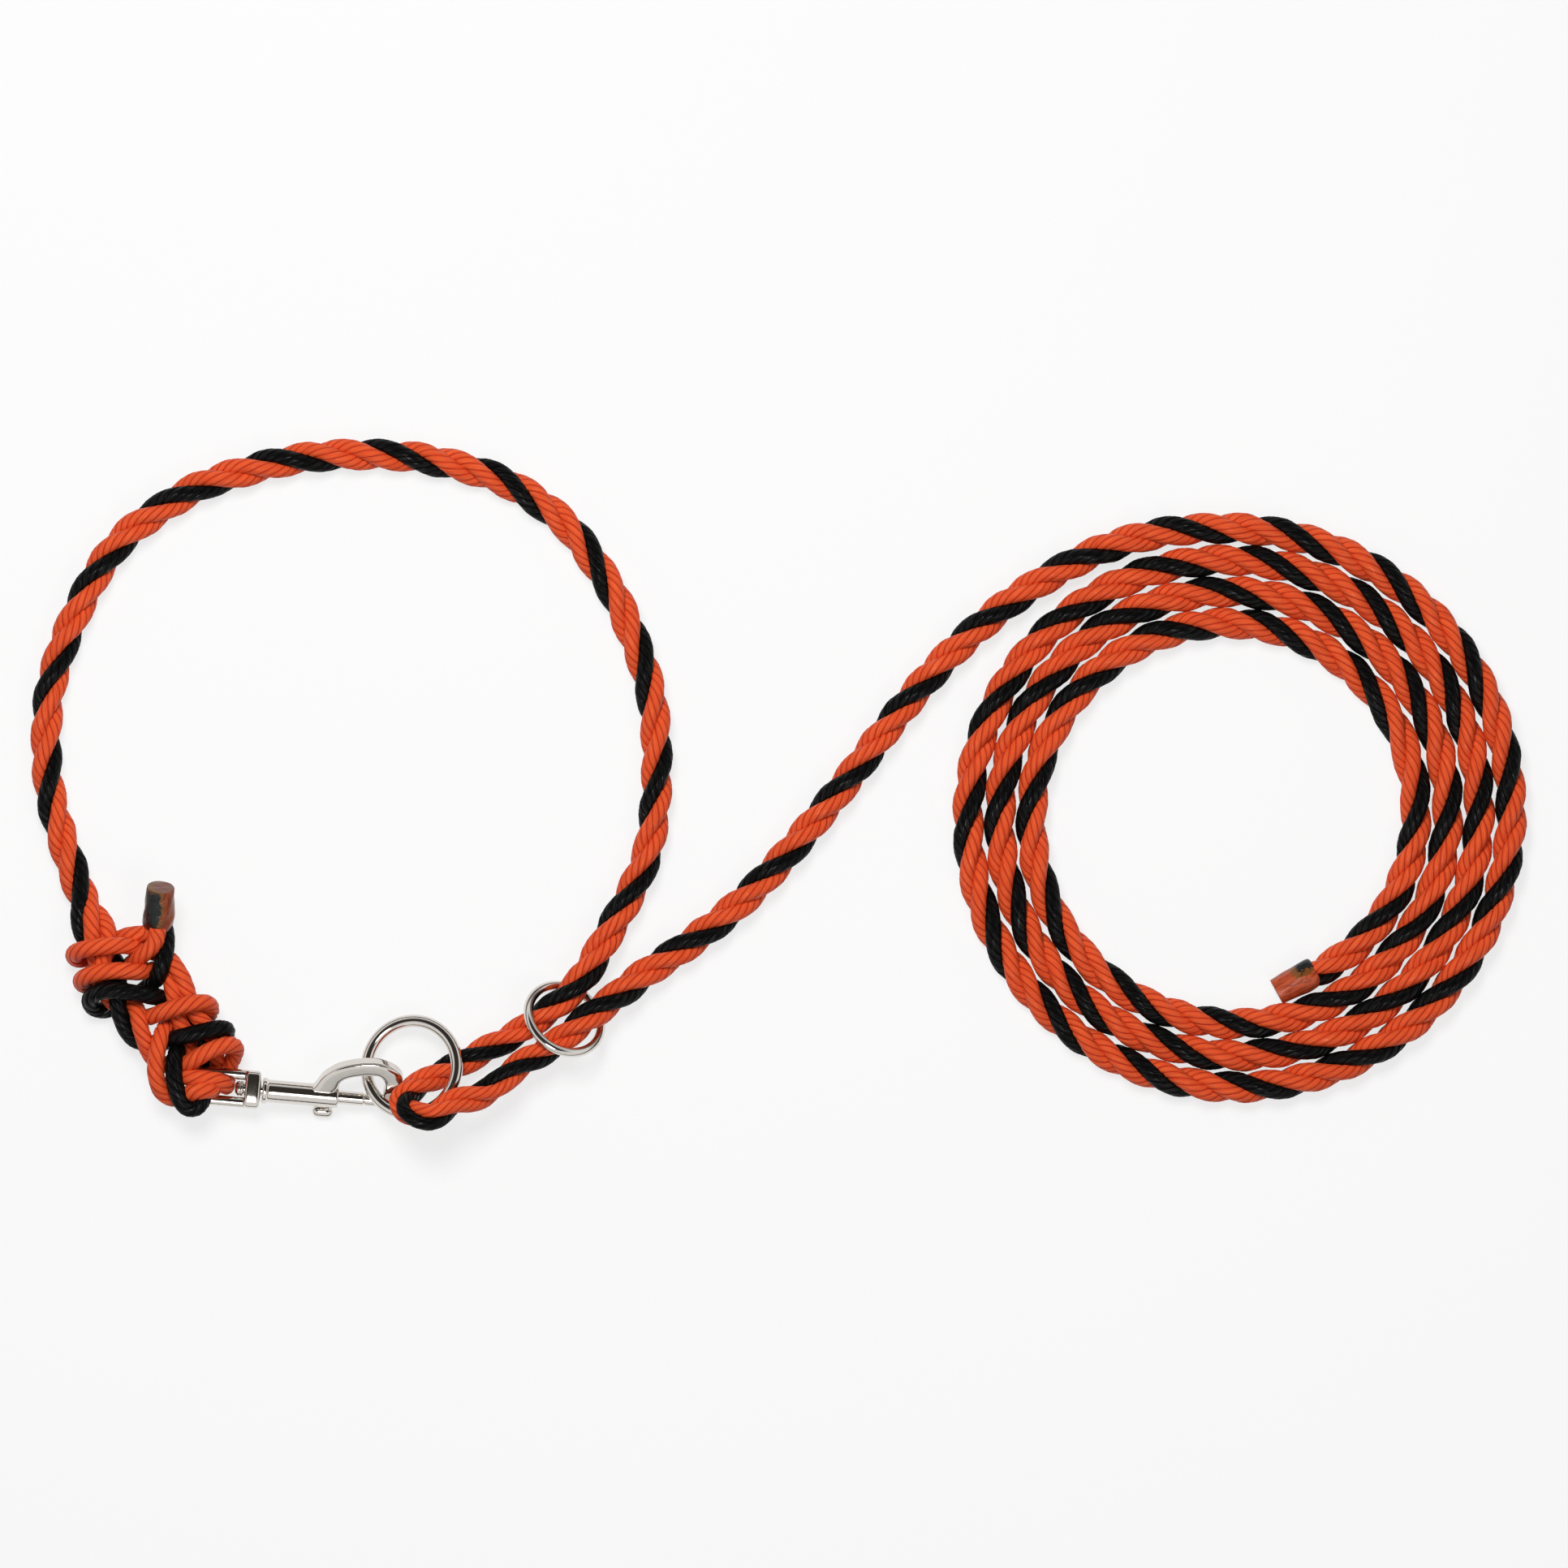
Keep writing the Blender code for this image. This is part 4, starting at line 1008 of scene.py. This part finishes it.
def melted_material(name, first, second, band, turn, reach):
    """Smears: noise drawn along the plug mixes two tones, and the cut face beyond v = 1 has its own tone. A
    band of the map's u, up to a reach of its v, is black with a ragged edge, and that edge is amber."""
    mat, tree, shader = new_material(name)
    uv = tree.nodes.new("ShaderNodeUVMap")
    uv.uv_map = "along"
    split = tree.nodes.new("ShaderNodeSeparateXYZ")
    feed(tree, uv.outputs[0], split.inputs[0])
    u, v = calc(tree, "FRACT", calc(tree, "ADD", split.outputs[0], turn)), split.outputs[1]
    place = tree.nodes.new("ShaderNodeTexCoord").outputs["Object"]
    ragged = noise(tree, place, 420.0, 3.0, 0.6)
    drawn = vector(tree, calc(tree, "MULTIPLY", u, 26.0), calc(tree, "MULTIPLY", v, 3.0))
    side = stretch(tree, v, 1.02, 1.0)
    smear = calc(tree, "MULTIPLY", noise(tree, drawn, 1.0, 3.0, 0.6, 0.6), side)
    tone = mix(tree, stretch(tree, smear, 0.38, 0.62), (*first, 1), (*second, 1))
    tone = mix(tree, side, (*CUT_FACE, 1), tone)
    stray = calc(tree, "MULTIPLY", calc(tree, "SUBTRACT", ragged, 0.5), 0.16)
    around = calc(tree, "ADD", u, stray)
    low = stretch(tree, around, band[0], band[0] + BAND_EDGE)
    high = stretch(tree, around, band[1], band[1] - BAND_EDGE)
    far = stretch(tree, calc(tree, "ADD", v, stray), reach + REACH_EDGE, reach - REACH_EDGE)
    dark = calc(tree, "MULTIPLY", calc(tree, "MULTIPLY", low, high), far)
    half_dark = calc(tree, "MULTIPLY", dark, calc(tree, "SUBTRACT", 1.0, dark))
    rim = calc(tree, "MULTIPLY", half_dark, 3.0, True)
    black = mix(tree, dark, tone, (*BLACK_MELT, 1))
    feed(tree, mix(tree, rim, black, (*AMBER_MELT, 1)), shader["Base Color"])
    feed(tree, calc(tree, "ADD", calc(tree, "MULTIPLY", ragged, 0.25), 0.08), shader["Roughness"])
    char = calc(tree, "MULTIPLY", ragged, calc(tree, "ADD", dark, 0.5))
    feed(tree, bump(tree, calc(tree, "ADD", char, smear), 0.6, 0.6 * MM), shader["Normal"])
    shader["Specular IOR Level"].default_value = 0.35
    print(name, len(tree.nodes), "nodes")
    return mat


lead_melt = melted_material("melted_lead", (0.55, 0.085, 0.022), (0.30, 0.04, 0.012), (0.3, 0.735), 0.5, 0.45)
tail_melt = melted_material("melted_tail", (0.34, 0.06, 0.014), (0.15, 0.035, 0.012), (0.19, 0.78), 0.0, 1.05)
lead_end.data.materials.append(lead_melt)
tail_end.data.materials.append(tail_melt)

# %% [markdown]
# ## Floor
# The photo has a white ground. The floor is pale and takes the object's soft shadow. To the camera and in
# mirrors it is mostly a plain white, so that no extra light has to fall on the object.

# %% Floor
FLOOR_HALF = 4
FLOOR_GREY = 0.88
WHITE_SHARE = 0.75

floor_mesh = bpy.data.meshes.new("floor")
floor_corners = [(x * FLOOR_HALF, y * FLOOR_HALF, 0) for x, y in ((-1, -1), (1, -1), (1, 1), (-1, 1))]
floor_mesh.from_pydata(floor_corners, [], [(0, 1, 2, 3)])
floor = bpy.data.objects.new("floor", floor_mesh)
bpy.context.scene.collection.objects.link(floor)
floor_mat, floor_tree, floor_shader = new_material("pale_floor")
floor_shader["Base Color"].default_value = (FLOOR_GREY, FLOOR_GREY, FLOOR_GREY, 1)
floor_shader["Roughness"].default_value = 0.9


def mirror_rays(tree):
    """1 for a ray from metal or glass: the sum of Is Glossy Ray and Is Transmission Ray, held at 1."""
    seen = tree.nodes.new("ShaderNodeLightPath").outputs
    return calc(tree, "ADD", seen["Is Glossy Ray"], seen["Is Transmission Ray"], True)


camera_rays = floor_tree.nodes.new("ShaderNodeLightPath").outputs["Is Camera Ray"]
rays = calc(floor_tree, "ADD", camera_rays, mirror_rays(floor_tree), True)
white = floor_tree.nodes.new("ShaderNodeEmission")
blend = floor_tree.nodes.new("ShaderNodeMixShader")
feed(floor_tree, calc(floor_tree, "MULTIPLY", rays, WHITE_SHARE), blend.inputs[0])
feed(floor_tree, floor_tree.nodes["Principled BSDF"].outputs[0], blend.inputs[1])
feed(floor_tree, white.outputs[0], blend.inputs[2])
feed(floor_tree, blend.outputs[0], floor_tree.nodes["Material Output"].inputs[0])
floor.data.materials.append(floor_mat)
print("floor", 2 * FLOOR_HALF, "m wide")

# %% [markdown]
# ## World
# Polished metal shows what is round it. In a photo studio that is a pale room, a dark camera overhead, a dark
# horizon and a bright window of light. Only mirrors see this room, and all else gets an even, weak light.

# %% World
EVEN_LIGHT = 0.16
ROOM, OVERHEAD, HORIZON = (0.85, 0.85, 0.85), (0.04, 0.035, 0.03), (0.07, 0.06, 0.055)
WINDOW_STRENGTH = 7.0

world = bpy.data.worlds.new("studio")
bpy.context.scene.world = world
world.use_nodes = True
sky = world.node_tree
direction = sky.nodes.new("ShaderNodeSeparateXYZ")
feed(sky, sky.nodes.new("ShaderNodeTexCoord").outputs["Generated"], direction.inputs[0])


def towards(north, up):
    """How near a direction of the sky is to one in the plane from south to north: their dot product."""
    return calc(sky, "ADD", calc(sky, "MULTIPLY", direction.outputs[1], north),
                calc(sky, "MULTIPLY", direction.outputs[2], up))


overhead = stretch(sky, towards(0.31, 0.95), 0.68, 0.82)
horizon = stretch(sky, direction.outputs[2], 0.32, 0.14)
window = stretch(sky, towards(-0.29, 0.957), 0.980, 0.990)
mirrored = mix(sky, overhead, (*ROOM, 1), (*OVERHEAD, 1))
mirrored = mix(sky, horizon, mirrored, (*HORIZON, 1))
mirrored = mix(sky, window, mirrored, (WINDOW_STRENGTH, WINDOW_STRENGTH, WINDOW_STRENGTH, 1))
even_light = (EVEN_LIGHT, EVEN_LIGHT, EVEN_LIGHT, 1)
feed(sky, mix(sky, mirror_rays(sky), even_light, mirrored), sky.nodes["Background"].inputs["Color"])
print("world", len(sky.nodes), "nodes")

# %% [markdown]
# ## Lamps
# Two large soft lamps hang over the object: a strong one north-west of it and a weak one south-east of it.
# Metal doesn't mirror them, because it already mirrors the studio's window.

# %% Lamps
def lamp(name, place, size, power):
    """A square soft lamp that looks at the middle of the object."""
    data = bpy.data.lights.new(name, "AREA")
    data.size = size
    data.energy = power
    obj = bpy.data.objects.new(name, data)
    bpy.context.scene.collection.objects.link(obj)
    obj.location = place
    away = unit(np.array(place, float))
    obj.rotation_euler = (np.arccos(away[2]), 0, np.arctan2(away[0], -away[1]))
    obj.visible_glossy = False
    print(name, power, "W")


lamp("main_lamp", (-0.3, 0.6, 1.5), 0.6, 21)
lamp("fill_lamp", (0.5, -0.6, 1.4), 0.7, 4)
bpy.context.scene.view_settings.view_transform = "Standard"
